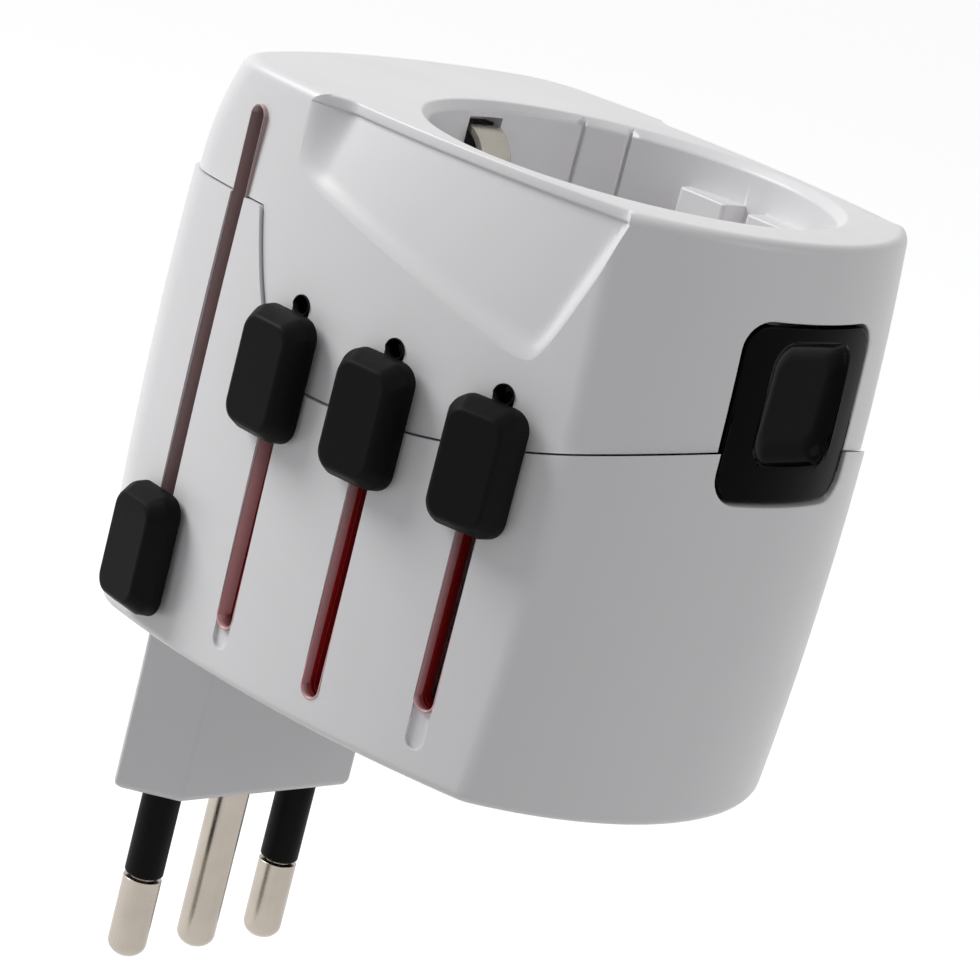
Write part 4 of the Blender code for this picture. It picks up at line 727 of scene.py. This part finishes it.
def metal(name, groups, colour, rough, lines, along, depth):
    """A plated or bare metal with drawn lines and a slightly cloudy tone."""
    material, tree, shader = start_material(name)
    texture = place_group(tree, groups["lines"], lines_per_metre=lines, along=along)
    marks = place_group(tree, groups["marks"], patches_per_metre=160.0)
    shade(tree, shader, texture.outputs["Cloud"], toned(colour, 0.86), toned(colour, 1.12))
    sheen = sums(tree, "ADD", remap(tree, texture.outputs["Height"], 0.2, 0.8, rough[0], rough[1]),
                 sums(tree, "MULTIPLY", marks.outputs["Rub"], 0.07))
    tree.links.new(sheen, shader.inputs["Roughness"])
    bump(tree, shader, texture.outputs["Height"], 1.0, depth)
    shader.inputs["Metallic"].default_value = 1.0
    return material


FINISHES = {}


def finish(slot):
    if slot not in FINISHES:
        raise RuntimeError(f"The finish {slot} has not been made; run the finishes first")
    return FINISHES[slot]


# Pieces


def seam_edges(bm, angle):
    """Weighs the edges to round; dish, parting and slot seams and inner corners stay crisp."""
    weight = bm.edges.layers.float.new("bevel_weight_edge")
    for edge in bm.edges:
        turn = edge.calc_face_angle(0.0)
        kinds = {SEAMS[face.material_index] for face in edge.link_faces}
        level = any(face.normal.z > 0.95 for face in edge.link_faces)
        if len(kinds) > 1 and (kinds & {"parting", "slot"} or not level):
            edge.smooth = turn < math.radians(8.0)
        elif turn > math.radians(angle):
            edge.smooth = edge.is_convex
            edge[weight] = float(edge.is_convex)


def dress(piece, body, slot, nodes, edge, segments=3, angle=28.0, look=None, seams=False):
    """Cleans a finished form, rounds its edges, gives it its finish and sets it on its body."""
    bm = bmesh.new()
    bm.from_mesh(piece.data)
    bmesh.ops.remove_doubles(bm, verts=bm.verts, dist=0.004 * MM)
    bmesh.ops.dissolve_degenerate(bm, edges=bm.edges, dist=0.004 * MM)
    bmesh.ops.dissolve_limit(bm, angle_limit=math.radians(0.005), verts=bm.verts, edges=bm.edges, delimit={"MATERIAL"})
    if seams:
        bmesh.ops.triangulate(bm, faces=[face for face in bm.faces if len(face.verts) > 4])
        seam_edges(bm, angle)
    for face in bm.faces:
        face.smooth = True
        face.material_index = 0
    bm.to_mesh(piece.data)
    bm.free()
    piece.data.materials.clear()
    piece.data.materials.append(finish(look or slot))
    if edge:
        rounding = piece.modifiers.new("edges", "BEVEL")
        rounding.width = edge
        rounding.segments = segments
        rounding.limit_method = "WEIGHT" if seams else "ANGLE"
        rounding.angle_limit = math.radians(angle)
        rounding.use_clamp_overlap = False
        rounding.loop_slide = False
        rounding.miter_outer = "MITER_ARC"
    weighting = piece.modifiers.new("normals", "WEIGHTED_NORMAL")
    weighting.weight = 60
    weighting.keep_sharp = True
    if nodes:
        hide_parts(*nodes)
    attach(piece, body)
    return piece


def merged_copy(node, name):
    """A copy of a solid's mesh with its loose triangles merged."""
    bm = bmesh.new()
    bm.from_mesh(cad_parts[node].data)
    bmesh.ops.remove_doubles(bm, verts=bm.verts, dist=0.001 * MM)
    mesh = bpy.data.meshes.new(name)
    bm.to_mesh(mesh)
    bm.free()
    piece = bpy.data.objects.new(name, mesh)
    bpy.context.scene.collection.objects.link(piece)
    return piece


class ADAPTER_OT_finishes(bpy.types.Operator):
    """Make the plastics and metals that the pieces share"""

    bl_idname = "adapter.finishes"
    bl_label = "Finishes"

    def execute(self, context):
        tint = context.scene.adapter_colours
        groups = {"grain": moulded_grain(), "marks": handling_marks(), "lines": drawn_lines()}
        FINISHES.clear()
        FINISHES["white_shell"] = plastic("shell_white", groups, tint.white, (0.30, 0.40), 4200.0, 0.0000012, 0.02)
        FINISHES["black_grip"] = plastic("grip_black", groups, tint.grip, (0.46, 0.60), 5200.0, 0.000003, 0.3, 0.07)
        FINISHES["black_gloss"] = plastic("gloss_black", groups, tint.gloss, (0.14, 0.22), 2000.0, 0.0000003, 0.2,
                                          0.035)
        FINISHES["dark_red"] = plastic("slide_red", groups, tint.red, (0.34, 0.46), 3600.0, 0.0000015, 0.12)
        # The slot wall finishes carry painted shade and painted red bounce light
        FINISHES["slot_wall_painted_shade"] = plastic("slot_wall_painted_shade", groups, tint.slot_painted_shade, (0.30, 0.42), 3600.0, 0.0000015, 0.08)
        FINISHES["slot_wall_painted_shade_and_bounce"] = plastic("slot_wall_painted_shade_and_bounce", groups, tint.slot_painted_shade_and_bounce, (0.30, 0.42), 3600.0, 0.0000015, 0.08)
        # The darkened nickel carries painted dark reflection
        FINISHES["nickel"] = metal("pin_nickel", groups, tint.nickel, (0.16, 0.30), 6000.0, 200.0, 0.0000008)
        FINISHES["brass"] = metal("contact_brass", groups, tint.brass, (0.22, 0.36), 5000.0, 160.0, 0.000001)
        FINISHES["spring_steel"] = metal("spring_steel", groups, tint.steel, (0.2, 0.34), 4500.0, 300.0, 0.000001)
        return {"FINISHED"}


class ADAPTER_OT_lower_shell(bpy.types.Operator):
    """Build the lower shell with its slots, plug holes and screw posts"""

    bl_idname = "adapter.lower_shell"
    bl_label = "Lower shell"

    def execute(self, context):
        shell = barrel("shell_lower", 0.0, PARTING_HIGH + OVER)
        posts = together("posts", [rod("post", POST / 2, 0.0, POST_SPLIT, x, y, 32) for x, y in SCREWS])
        room = cut(hollow("room", FLAT_WALL, TOP), posts)
        holes = slots("slot")
        for x, y, along, across, turn in BLADE_HOLES:
            half_x, half_y = along / 2 + SLIDE_GAP, across / 2 + SLIDE_GAP
            tool = block("blade_hole", (-half_x, -half_y, -OVER), (half_x, half_y, FLAT_WALL + OVER))
            tool.data.transform(Matrix.Translation((x, y, 0.0)) @ Matrix.Rotation(turn, 4, "Z"))
            holes.append(tool)
        x, y, radius = ROUND_EARTH
        holes.append(rod("earth_hole", radius + SLIDE_GAP, -OVER, FLAT_WALL + OVER, x, y))
        holes.append(button_tool("button_hole", SLIDE_GAP, LENGTH / 2 - 2 * BUTTON_SHEET, LENGTH))
        holes += [rod("screw_hole", SCREW_SHANK / 2 + GAP, -OVER, TOP, x, y, 32) for x, y in SCREWS]
        deeper = [slot_tool("recess", SLOTS[i][0], SLOTS[2][1], RECESS_TOP, RECESS_DEPTH, RECESS_WIDTH) for i in (1, 3)]
        deeper += [rod("head_hole", SCREW_HEAD / 2 + GAP, -OVER, SCREW_HEAD_HEIGHT + GAP, x, y) for x, y in SCREWS]
        cut(shell, room, column("channel", hexagon(SLIDE_GAP), -OVER, TOP), seamed(curtain("parting", 0.0, TOP + OVER), "parting"),
            together("holes", holes), together("deeper", deeper))
        dress(shell, "housing", "white_shell", ["lower_housing"], context.scene.adapter_sizes.shell_edge, seams=True)
        return {"FINISHED"}


class ADAPTER_OT_upper_shell(bpy.types.Operator):
    """Build the upper shell with its socket well and finger dishes"""

    bl_idname = "adapter.upper_shell"
    bl_label = "Upper shell"

    def execute(self, context):
        sizes = context.scene.adapter_sizes
        shell = barrel("shell_upper", PARTING_LOW - OVER, TOP, STEP_IN)
        room = hollow("room", 0.0, TOP - FLAT_WALL, end_trim(TOP - FLAT_WALL))
        seats = []
        for side in (-1, 1):
            half = SEAT_WIDTH / 2
            seats.append(block("seat", (SEAT_X, side * SPRING_Y - half, SPRING_Z - half),
                               (SEAT_X + SEAT_SHEET, side * SPRING_Y + half, WELL_FLOOR)))
        posts = [rod("post", POST / 2, POST_SPLIT + GAP, TOP, x, y, 32) for x, y in SCREWS]
        cut(room, rod("cup", WELL_RADIUS + WELL_WALL, WELL_UNDER, TOP, SOCKET_X, 0.0, 96),
            together("dish_walls", [dish_tool("dish_wall", side, DISH_WALL, 24, 4) for side in (-1, 1)]),
            together("posts", seats + posts))
        holes = slots("slot")
        for side in (-1, 1):
            holes.append(rod("pin_hole", PIN_HOLE / 2, WELL_UNDER - OVER, TOP, SOCKET_X, side * PIN_ROW, 48))
            near = SOCKET_X + side * (CLIP_REACH - CLIP_SHEET / 2 - GAP)
            far = SOCKET_X + side * (CLIP_REACH + CLIP_SHEET / 2 + GAP / 2)
            holes.append(seamed(block("clip_slot", (min(near, far), -CLIP_WIDTH / 2 - GAP, WELL_UNDER - OVER),
                                      (max(near, far), CLIP_WIDTH / 2 + GAP, WELL_FLOOR + GAP)), "slot"))
            near, far = SOCKET_X + side * CLIP_REACH, SOCKET_X + side * (WELL_RADIUS + 2 * WELL_WALL)
            holes.append(seamed(block("clip_window", (min(near, far), -CLIP_WIDTH / 2 - GAP, TOP - 6.0 * MM),
                                      (max(near, far), CLIP_WIDTH / 2 + GAP, TOP - 1.5 * MM)), "slot"))
        holes.append(button_tool("button_hole", SLIDE_GAP, LENGTH / 2 - 2 * BUTTON_SHEET, LENGTH))
        holes += [rod("screw_hole", SCREW_SHANK / 2 + GAP, 0.0, SCREW_TOP + GAP, x, y, 32) for x, y in SCREWS]
        holes += self.slits(sizes.slit_width)
        dishes = together("dishes", [dish_tool("dish", side, 0.0, 88, 18) for side in (-1, 1)])
        cut(shell, room, column("channel", hexagon(SLIDE_GAP), 0.0, BLOCK_IN + 39.0 * MM + GAP),
            seamed(curtain("parting", PARTING_LINE, -OVER), "parting"), seamed(dishes, "dish"), self.well(), together("holes", holes))
        dress(shell, "housing", "white_shell", ["upper_housing"], sizes.shell_edge, seams=True)
        return {"FINISHED"}

    def well(self):
        """The socket well with its chamfered lip, less the two guide ribs on its wall."""
        profile = [(0.0, WELL_FLOOR), (WELL_RADIUS, WELL_FLOOR), (WELL_RADIUS, TOP - WELL_LIP),
                   (WELL_RADIUS + WELL_LIP + OVER, TOP + OVER), (0.0, TOP + OVER)]
        ribs = []
        for side in (-1, 1):
            inner, outer = side * (WELL_RADIUS - RIB_REACH), side * (WELL_RADIUS + OVER)
            for half in (-1, 1):
                near, far = half * RIB_NOTCH / 2, half * RIB_WIDTH / 2
                ribs.append(block("rib", (SOCKET_X + min(near, far), min(inner, outer), WELL_FLOOR - OVER),
                                  (SOCKET_X + max(near, far), max(inner, outer), TOP - RIB_DROP), 0.6 * MM))
        return cut(turned("well", profile, SOCKET_X, 0.0, 144), together("ribs", ribs))

    def slits(self, width):
        """Two upright slits in the well's wall towards the plug end."""
        tools = []
        for angle in (147.0, 133.0):
            tool = block("slit", (WELL_RADIUS - GAP, -width / 2, WELL_FLOOR + 0.8 * MM),
                         (WELL_RADIUS + 0.4 * MM, width / 2, TOP))
            turn = Matrix.Rotation(math.radians(angle), 4, "Z")
            tool.data.transform(Matrix.Translation((SOCKET_X, 0.0, 0.0)) @ turn)
            tools.append(tool)
        return tools


class ADAPTER_OT_slot_liners(bpy.types.Operator):
    """Line the four slots with thin sheets: painted shade and painted red bounce light on the outer walls, the dark red
    lips that the slide buttons run in further in, and a black sheet of painted shade in the tops of the shorter slots
    """

    bl_idname = "adapter.slot_liners"
    bl_label = "Slot liners"

    def execute(self, context):
        for i, (x, low, high, _) in enumerate(SLOTS):
            split, turn = LINER_TOP if i else high, LINER_TURNS[i]
            # The outer sheet's look is painted shade: brown in the long slot, rosier with painted red bounce light in
            # the shorter ones
            self.liner(f"slot_liner_{i + 1}", x, low, split, LINER_START, turn, "dark_red",
                       "slot_wall_painted_shade_and_bounce" if i else "slot_wall_painted_shade")
            if i:
                self.liner(f"slot_guide_{i + 1}", x, low, split, turn, SIDE_WALL, "dark_red", "dark_red")
                # A black sheet in the slot's top above the lips: painted shade where the slot shows as a dark hole
                self.liner(f"slot_throat_{i + 1}", x, split + GAP, high, LINER_START, SIDE_WALL, "black_grip", "black_grip")
        return {"FINISHED"}

    def liner(self, name, x, low, high, start, end, slot, look):
        bm = slot_outline(low, high, SLOT_WIDTH - 0.04 * MM)
        bmesh.ops.delete(bm, geom=bm.faces[:], context="FACES_ONLY")
        bmesh.ops.translate(bm, vec=(0.0, start, 0.0), verts=bm.verts)
        made = bmesh.ops.extrude_edge_only(bm, edges=bm.edges[:])["geom"]
        verts = [v for v in made if isinstance(v, bmesh.types.BMVert)]
        bmesh.ops.translate(bm, vec=(0.0, end - start, 0.0), verts=verts)
        bmesh.ops.transform(bm, matrix=side_frame(x), verts=bm.verts)
        piece = solid(name, bm)
        wall = piece.modifiers.new("wall", "SOLIDIFY")
        wall.thickness = LINER_SHEET
        wall.offset = -1.0
        dress(piece, "housing", slot, [], 0.0, look=look)


class ADAPTER_OT_slide_buttons(bpy.types.Operator):
    """Build the four black slide buttons on the slider side"""

    bl_idname = "adapter.slide_buttons"
    bl_label = "Slide buttons"

    def execute(self, context):
        bodies = ("inline_plug", "flat_plug", "thick_plug", "angled_plug")
        for i, (body, (x, _, _, z)) in enumerate(zip(bodies, SLOTS)):
            bm = rounded_plate(CAP_WIDTH, CAP_HEIGHT, CAP_CORNER, 8)
            bmesh.ops.translate(bm, vec=(0.0, -GAP, 0.0), verts=bm.verts)
            front = bm.faces[:]
            for proud, width, height in ((CAP_SHOULDER, CAP_WIDTH - GAP, CAP_HEIGHT - GAP),
                                         (CAP_PROUD, FACE_WIDTH, FACE_HEIGHT)):
                front, verts = drawn_on(bm, front)
                span_x = max(v.co.x for v in verts) * 2
                span_z = max(v.co.z for v in verts) * 2
                bmesh.ops.scale(bm, vec=(width / span_x, 1.0, height / span_z), verts=verts)
                bmesh.ops.translate(bm, vec=(0.0, -proud - verts[0].co.y, 0.0), verts=verts)
            cap = solid(f"slide_button_{i + 1}", bm)
            stem = rounded_plate(STEM_WIDTH, STEM_HEIGHT, STEM_WIDTH / 2 - GAP, 6)
            bmesh.ops.translate(stem, vec=(0.0, -(GAP + CAP_SHOULDER) / 2, 0.0), verts=stem.verts)
            push(stem, (0.0, STEM_DEPTH + (GAP + CAP_SHOULDER) / 2, 0.0))
            combine(cap, "UNION", [solid("stem", stem)])
            cap.data.transform(side_frame(x) @ Matrix.Translation((0.0, 0.0, z)))
            dress(cap, body, "black_grip", [f"slider_knob_{i + 1}"], context.scene.adapter_sizes.cap_edge, 4)
        return {"FINISHED"}


class ADAPTER_OT_release_button(bpy.types.Operator):
    """Build the glossy release button with its thumb scoop"""

    bl_idname = "adapter.release_button"
    bl_label = "Release button"

    def execute(self, context):
        button = barrel("release_cap", BUTTON_LOW - OVER, BUTTON_HIGH + OVER, STEP_IN)
        combine(button, "INTERSECT", [button_tool("outline", 0.0, LENGTH / 2 - BUTTON_SHEET, LENGTH)])
        high, start = BUTTON_HIGH - SCOOP_FRAME, SCOOP_DEPTH * 0.3
        bm = rounded_plate(SCOOP_WIDTH, high - SCOOP_LOW, SCOOP_ROUND, 8)
        bmesh.ops.rotate(bm, cent=(0, 0, 0), matrix=Matrix.Rotation(math.pi / 2, 3, "Z"), verts=bm.verts)
        bmesh.ops.translate(bm, vec=(LENGTH / 2 + OVER, 0.0, 0.0), verts=bm.verts)
        front, shrunk = bm.faces[:], 0.0
        for turn in (i * math.pi / 16 for i in range(9)):
            depth = start + (SCOOP_DEPTH - start) * math.sin(turn)
            shrink = SCOOP_ROUND * (1 - math.cos(turn))
            front, verts = drawn_on(bm, front)
            wide, tall = SCOOP_WIDTH / 2, (high - SCOOP_LOW) / 2
            bmesh.ops.scale(bm, vec=(1.0, (wide - shrink) / (wide - shrunk), (tall - shrink) / (tall - shrunk)), verts=verts)
            bmesh.ops.translate(bm, vec=(LENGTH / 2 - depth - verts[0].co.x, 0.0, 0.0), verts=verts)
            shrunk = shrink
        bmesh.ops.translate(bm, vec=(0.0, 0.0, (high + SCOOP_LOW) / 2), verts=bm.verts)
        cut(button, solid("scoop", bm))
        dress(button, "release", "black_gloss", ["release_button"], context.scene.adapter_sizes.release_edge, 4)
        return {"FINISHED"}


class ADAPTER_OT_inline_plug(bpy.types.Operator):
    """Build the hexagonal plug block with its three round pins and two sleeves"""

    bl_idname = "adapter.inline_plug"
    bl_label = "In-line plug"

    def execute(self, context):
        low = -BLOCK_OUT
        body = column("plug_block", hexagon(0.0), low, BLOCK_IN)
        bm = bmesh.new()
        bm.from_mesh(body.data)
        foot = [e for e in bm.edges if all(v.co.z < low + GAP for v in e.verts)]
        bmesh.ops.bevel(bm, geom=foot, offset=BLOCK_EDGE, affect="EDGES", segments=6, profile=0.5, material=-1,
                        clamp_overlap=True)
        bm.to_mesh(body.data)
        bm.free()
        lug_low, lug_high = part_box("inline_block")
        lug = block("lug", (-22.15 * MM, lug_low[1], 4.5 * MM), (-18.55 * MM, -9.5 * MM, BLOCK_IN - GAP))
        combine(body, "UNION", [lug])
        for row in (-1, 0, 1):
            y = row * PIN_ROW
            core = (PIN_CORE if row else PIN) / 2 + GAP
            cut(body, rod("pin_seat", core, low - GAP, low + PIN_ROOT + GAP, BLOCK_X, y))
            if row:
                cut(body, rod("sleeve_seat", PIN / 2 + GAP, low - GAP, low + SLEEVE_ROOT + GAP, BLOCK_X, y))
        dress(body, "inline_plug", "white_shell", ["inline_block"], 0.35 * MM, 3)
        for row, name in ((-1, "live"), (0, "earth"), (1, "neutral")):
            self.pin(name, row)
        return {"FINISHED"}

    def pin(self, name, row):
        face = -BLOCK_OUT
        tip, root, r = face - PIN_LENGTH, face + PIN_ROOT, PIN / 2
        profile = [(r * math.sin(t), tip + PIN_DOME * (1 - math.cos(t))) for t in (i * math.pi / 24 for i in range(13))]
        if row:
            neck = face - SLEEVE_LENGTH - GAP
            profile += [(r, neck), (PIN_CORE / 2, neck), (PIN_CORE / 2, root), (0.0, root)]
            inner, ease = PIN_CORE / 2 + GAP, 0.25 * MM
            bottom, top = face - SLEEVE_LENGTH, face + SLEEVE_ROOT
            sleeve = turned(f"plug_sleeve_{name}", [(inner, bottom), (r - ease, bottom), (r, bottom + ease), (r, top),
                                                    (inner, top)], BLOCK_X, row * PIN_ROW, 64)
            dress(sleeve, "inline_plug", "black_grip", [f"inline_{name}_sleeve"], 0.08 * MM, 2)
        else:
            profile += [(r, root), (0.0, root)]
        pin = turned(f"plug_pin_{name}", profile, BLOCK_X, row * PIN_ROW, 64)
        dress(pin, "inline_plug", "nickel", [f"inline_{name}_pin"], 0.08 * MM, 2)


class ADAPTER_OT_earth_clip(bpy.types.Operator):
    """Build the earth strip with its two sprung clips in the socket well"""

    bl_idname = "adapter.earth_clip"
    bl_label = "Earth clip"

    def execute(self, context):
        strip_z = WELL_UNDER - GAP - CLIP_SHEET / 2
        arm = [(CLIP_REACH, strip_z), (CLIP_REACH, WELL_FLOOR + CLIP_SHEET), (CLIP_REACH - CLIP_BULGE, TOP - 6.5 * MM),
               (CLIP_REACH - CLIP_BULGE / 2, TOP - 3.4 * MM), (CLIP_REACH + CLIP_SHEET, TOP - 2.6 * MM)]
        path = [(-x, z) for x, z in reversed(arm)] + arm
        bm = bmesh.new()
        verts = [bm.verts.new((SOCKET_X + x, -CLIP_WIDTH / 2, z)) for x, z in path]
        line = [bm.edges.new(pair) for pair in zip(verts, verts[1:])]
        made = bmesh.ops.extrude_edge_only(bm, edges=line)["geom"]
        bmesh.ops.translate(bm, vec=(0.0, CLIP_WIDTH, 0.0), verts=[v for v in made if isinstance(v, bmesh.types.BMVert)])
        folds = [e for e in bm.edges if len(e.link_faces) == 2]
        soft = [e for e in folds if e.verts[0].co.z > WELL_FLOOR + 5 * MM]
        bmesh.ops.bevel(bm, geom=soft, offset=1.4 * MM, affect="EDGES", segments=8, profile=0.5, material=-1,
                        clamp_overlap=True)
        strip = solid("earth_clip", bm)
        sheet = strip.modifiers.new("sheet", "SOLIDIFY")
        sheet.thickness = CLIP_SHEET
        sheet.offset = 0.0
        sheet.use_even_offset = True
        dress(strip, "housing", "spring_steel", ["earth_bracket"], 0.12 * MM, 2)
        return {"FINISHED"}


class ADAPTER_OT_screws(bpy.types.Operator):
    """Build the four housing screws with their cross recesses"""

    bl_idname = "adapter.screws"
    bl_label = "Housing screws"

    def execute(self, context):
        shank, head = SCREW_SHANK / 2, SCREW_HEAD / 2
        profile = [(0.0, 0.0), (head - 0.4 * MM, 0.0), (head, 0.4 * MM), (head, SCREW_HEAD_HEIGHT),
                   (shank, SCREW_HEAD_HEIGHT), (shank, SCREW_TOP - shank), (shank / 2, SCREW_TOP), (0.0, SCREW_TOP)]
        arm, half = 1.4 * MM, 0.3 * MM
        for i, (x, y) in enumerate(SCREWS):
            screw = turned(f"screw_{i + 1}", profile, x, y, 48)
            cut(screw, block("recess", (x - arm, y - half, -MM), (x + arm, y + half, 1.1 * MM)),
                block("recess", (x - half, y - arm, -MM), (x + half, y + arm, 1.1 * MM)))
            dress(screw, "housing", "spring_steel", [f"housing_screw_{i + 1}"], 0.06 * MM, 2)
        return {"FINISHED"}


class ADAPTER_OT_springs(bpy.types.Operator):
    """Wind the two springs behind the release button"""

    bl_idname = "adapter.springs"
    bl_label = "Release springs"

    def execute(self, context):
        start = SEAT_X + SEAT_SHEET + GAP + SPRING_WIRE
        length = LENGTH / 2 - BUTTON_SHEET - GAP - SPRING_WIRE - start
        steps = SPRING_TURNS * 24
        for side, name in ((-1, "front"), (1, "back")):
            y = side * SPRING_Y
            bm = bmesh.new()
            bmesh.ops.create_circle(bm, segments=10, radius=SPRING_WIRE,
                                    matrix=Matrix.Translation((start, y + SPRING_RADIUS, SPRING_Z)))
            first = bm.edges[:]
            spun = bmesh.ops.spin(bm, geom=bm.verts[:] + first, cent=(start, y, SPRING_Z), axis=(1.0, 0.0, 0.0),
                                  dvec=(length / steps, 0.0, 0.0), angle=math.tau * SPRING_TURNS, steps=steps)
            bmesh.ops.contextual_create(bm, geom=first)
            bmesh.ops.contextual_create(bm, geom=[e for e in spun["geom_last"] if isinstance(e, bmesh.types.BMEdge)])
            spring = solid(f"release_coil_{name}", bm)
            dress(spring, "housing", "spring_steel", [f"release_spring_{name}"], 0.0)
            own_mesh(spring)
        return {"FINISHED"}


class ADAPTER_OT_inner_works(bpy.types.Operator):
    """Finish the panel, carriages, blades, contacts and bars inside the housing"""

    bl_idname = "adapter.inner_works"
    bl_label = "Inner works"

    def execute(self, context):
        edge = context.scene.adapter_sizes.inner_edge
        rows = (
            ("housing", "dark_red", ("guide_panel",)),
            ("housing", "brass", ("live_contact", "neutral_contact", "live_busbar", "neutral_busbar")),
            ("flat_plug", "dark_red", ("flat_carriage",)),
            ("flat_plug", "nickel", ("flat_live_blade", "flat_neutral_blade", "flat_earth_pin")),
            ("thick_plug", "dark_red", ("thick_carriage",)),
            ("thick_plug", "nickel", ("thick_live_pin", "thick_neutral_pin", "thick_earth_pin")),
            ("thick_plug", "black_grip", ("thick_live_sleeve", "thick_neutral_sleeve")),
            ("angled_plug", "dark_red", ("angled_carriage",)),
            ("angled_plug", "nickel", ("angled_live_blade", "angled_neutral_blade", "angled_earth_blade")),
            ("release", "black_grip", ("lock_bar",)),
        )
        for body, slot, nodes in rows:
            for node in nodes:
                dress(merged_copy(node, f"{node}_finished"), body, slot, [node], edge, 2)
        return {"FINISHED"}


class ADAPTER_OT_stage(bpy.types.Operator):
    """Set the pale floor, the soft lights, the background and the camera"""

    bl_idname = "adapter.stage"
    bl_label = "Stage"

    def execute(self, context):
        scene = context.scene
        self.floor()
        self.world(scene)
        self.lamp("key_light", (-0.66, -0.47, 0.66), 0.6, 8.1)
        self.lamp("fill_light", (0.85, 0.20, 0.45), 0.6, 1.3)
        self.camera(scene)
        scene.view_settings.view_transform = "Standard"
        return {"FINISHED"}

    def floor(self):
        bm = bmesh.new()
        bmesh.ops.create_grid(bm, x_segments=1, y_segments=1, size=6.0)
        bmesh.ops.translate(bm, vec=(0.0, 0.0, FLOOR_Z), verts=bm.verts)
        floor = solid("floor", bm)
        material, tree, shader = start_material("floor_paper")
        shader.inputs["Roughness"].default_value = 0.9
        shader.inputs["Specular IOR Level"].default_value = 0.1
        shader.inputs["Base Color"].default_value = (0.62, 0.62, 0.62, 1.0)
        seen = self.seen(tree)
        shader.inputs["Emission Color"].default_value = (1.0, 1.0, 1.0, 1.0)
        tree.links.new(sums(tree, "MULTIPLY", seen, 0.75), shader.inputs["Emission Strength"])
        floor.data.materials.clear()
        floor.data.materials.append(material)

    def seen(self, tree):
        """One where the camera, a reflection or a see-through surface looks."""
        path = tree.nodes.new("ShaderNodeLightPath")
        first = sums(tree, "MAXIMUM", path.outputs["Is Camera Ray"], path.outputs["Is Glossy Ray"])
        return sums(tree, "MAXIMUM", first, path.outputs["Is Transmission Ray"])

    def world(self, scene):
        world = bpy.data.worlds.new("studio")
        world.use_nodes = True
        tree = world.node_tree
        light = tree.nodes["Background"]
        light.inputs["Color"].default_value = (0.97, 0.98, 1.0, 1.0)
        light.inputs["Strength"].default_value = 0.31
        shown = tree.nodes.new("ShaderNodeBackground")
        shown.inputs["Color"].default_value = (1.0, 1.0, 1.0, 1.0)
        mix = tree.nodes.new("ShaderNodeMixShader")
        tree.links.new(self.seen(tree), mix.inputs["Fac"])
        tree.links.new(light.outputs["Background"], mix.inputs[1])
        tree.links.new(shown.outputs["Background"], mix.inputs[2])
        tree.links.new(mix.outputs["Shader"], tree.nodes["World Output"].inputs["Surface"])
        scene.world = world

    def lamp(self, name, place, size, power):
        light = bpy.data.lights.new(name, "AREA")
        light.shape = "DISK"
        light.size = size
        light.energy = power
        lamp = bpy.data.objects.new(name, light)
        aim = Vector((0.0, 0.0, 0.015)) - Vector(place)
        lamp.matrix_world = Matrix.Translation(place) @ aim.to_track_quat("-Z", "Y").to_matrix().to_4x4()
        bpy.context.scene.collection.objects.link(lamp)

    def camera(self, scene):
        back = Vector((math.sin(VIEW_TURN) * math.cos(VIEW_RISE), -math.cos(VIEW_TURN) * math.cos(VIEW_RISE),
                       math.sin(VIEW_RISE)))
        level = Vector((math.cos(VIEW_TURN), math.sin(VIEW_TURN), 0.0))
        rise = back.cross(level)
        right = math.cos(VIEW_ROLL) * level + math.sin(VIEW_ROLL) * rise
        up = math.cos(VIEW_ROLL) * rise - math.sin(VIEW_ROLL) * level
        data = bpy.data.cameras.new("view")
        data.lens = VIEW_LENS
        data.sensor_width = 36.0
        data.clip_start = 0.01
        camera = bpy.data.objects.new("view", data)
        camera.matrix_world = Matrix.Translation(VIEW_PLACE) @ Matrix((right, up, back)).transposed().to_4x4()
        scene.collection.objects.link(camera)
        scene.camera = camera


class ADAPTER_PT_panel(bpy.types.Panel):
    """Sidebar panel that lists the adapter's pieces"""

    bl_idname = "ADAPTER_PT_panel"
    bl_label = "Travel adapter"
    bl_space_type = "VIEW_3D"
    bl_region_type = "UI"
    bl_category = "Adapter"

    def draw(self, context):
        for group in (context.scene.adapter_sizes, context.scene.adapter_colours):
            column = self.layout.column(align=True)
            for key in group.__annotations__:
                column.prop(group, key)
        for step in STEPS:
            self.layout.operator(step.bl_idname)


STEPS = (ADAPTER_OT_finishes, ADAPTER_OT_lower_shell, ADAPTER_OT_upper_shell, ADAPTER_OT_slot_liners,
         ADAPTER_OT_slide_buttons, ADAPTER_OT_release_button, ADAPTER_OT_inline_plug, ADAPTER_OT_earth_clip, ADAPTER_OT_screws,
         ADAPTER_OT_springs, ADAPTER_OT_inner_works, ADAPTER_OT_stage)
CLASSES = (AdapterSizes, AdapterColours, *STEPS, ADAPTER_PT_panel)


def register():
    for cls in CLASSES:
        bpy.utils.register_class(cls)
    bpy.types.Scene.adapter_sizes = PointerProperty(type=AdapterSizes)
    bpy.types.Scene.adapter_colours = PointerProperty(type=AdapterColours)


def unregister():
    del bpy.types.Scene.adapter_colours
    del bpy.types.Scene.adapter_sizes
    for cls in reversed(CLASSES):
        bpy.utils.unregister_class(cls)


def main():
    register()
    bpy.ops.adapter.finishes()
    bpy.ops.adapter.lower_shell()
    bpy.ops.adapter.upper_shell()
    bpy.ops.adapter.slot_liners()
    bpy.ops.adapter.slide_buttons()
    bpy.ops.adapter.release_button()
    bpy.ops.adapter.inline_plug()
    bpy.ops.adapter.earth_clip()
    bpy.ops.adapter.screws()
    bpy.ops.adapter.springs()
    bpy.ops.adapter.inner_works()
    bpy.ops.adapter.stage()


if __name__ == "__main__":
    main()
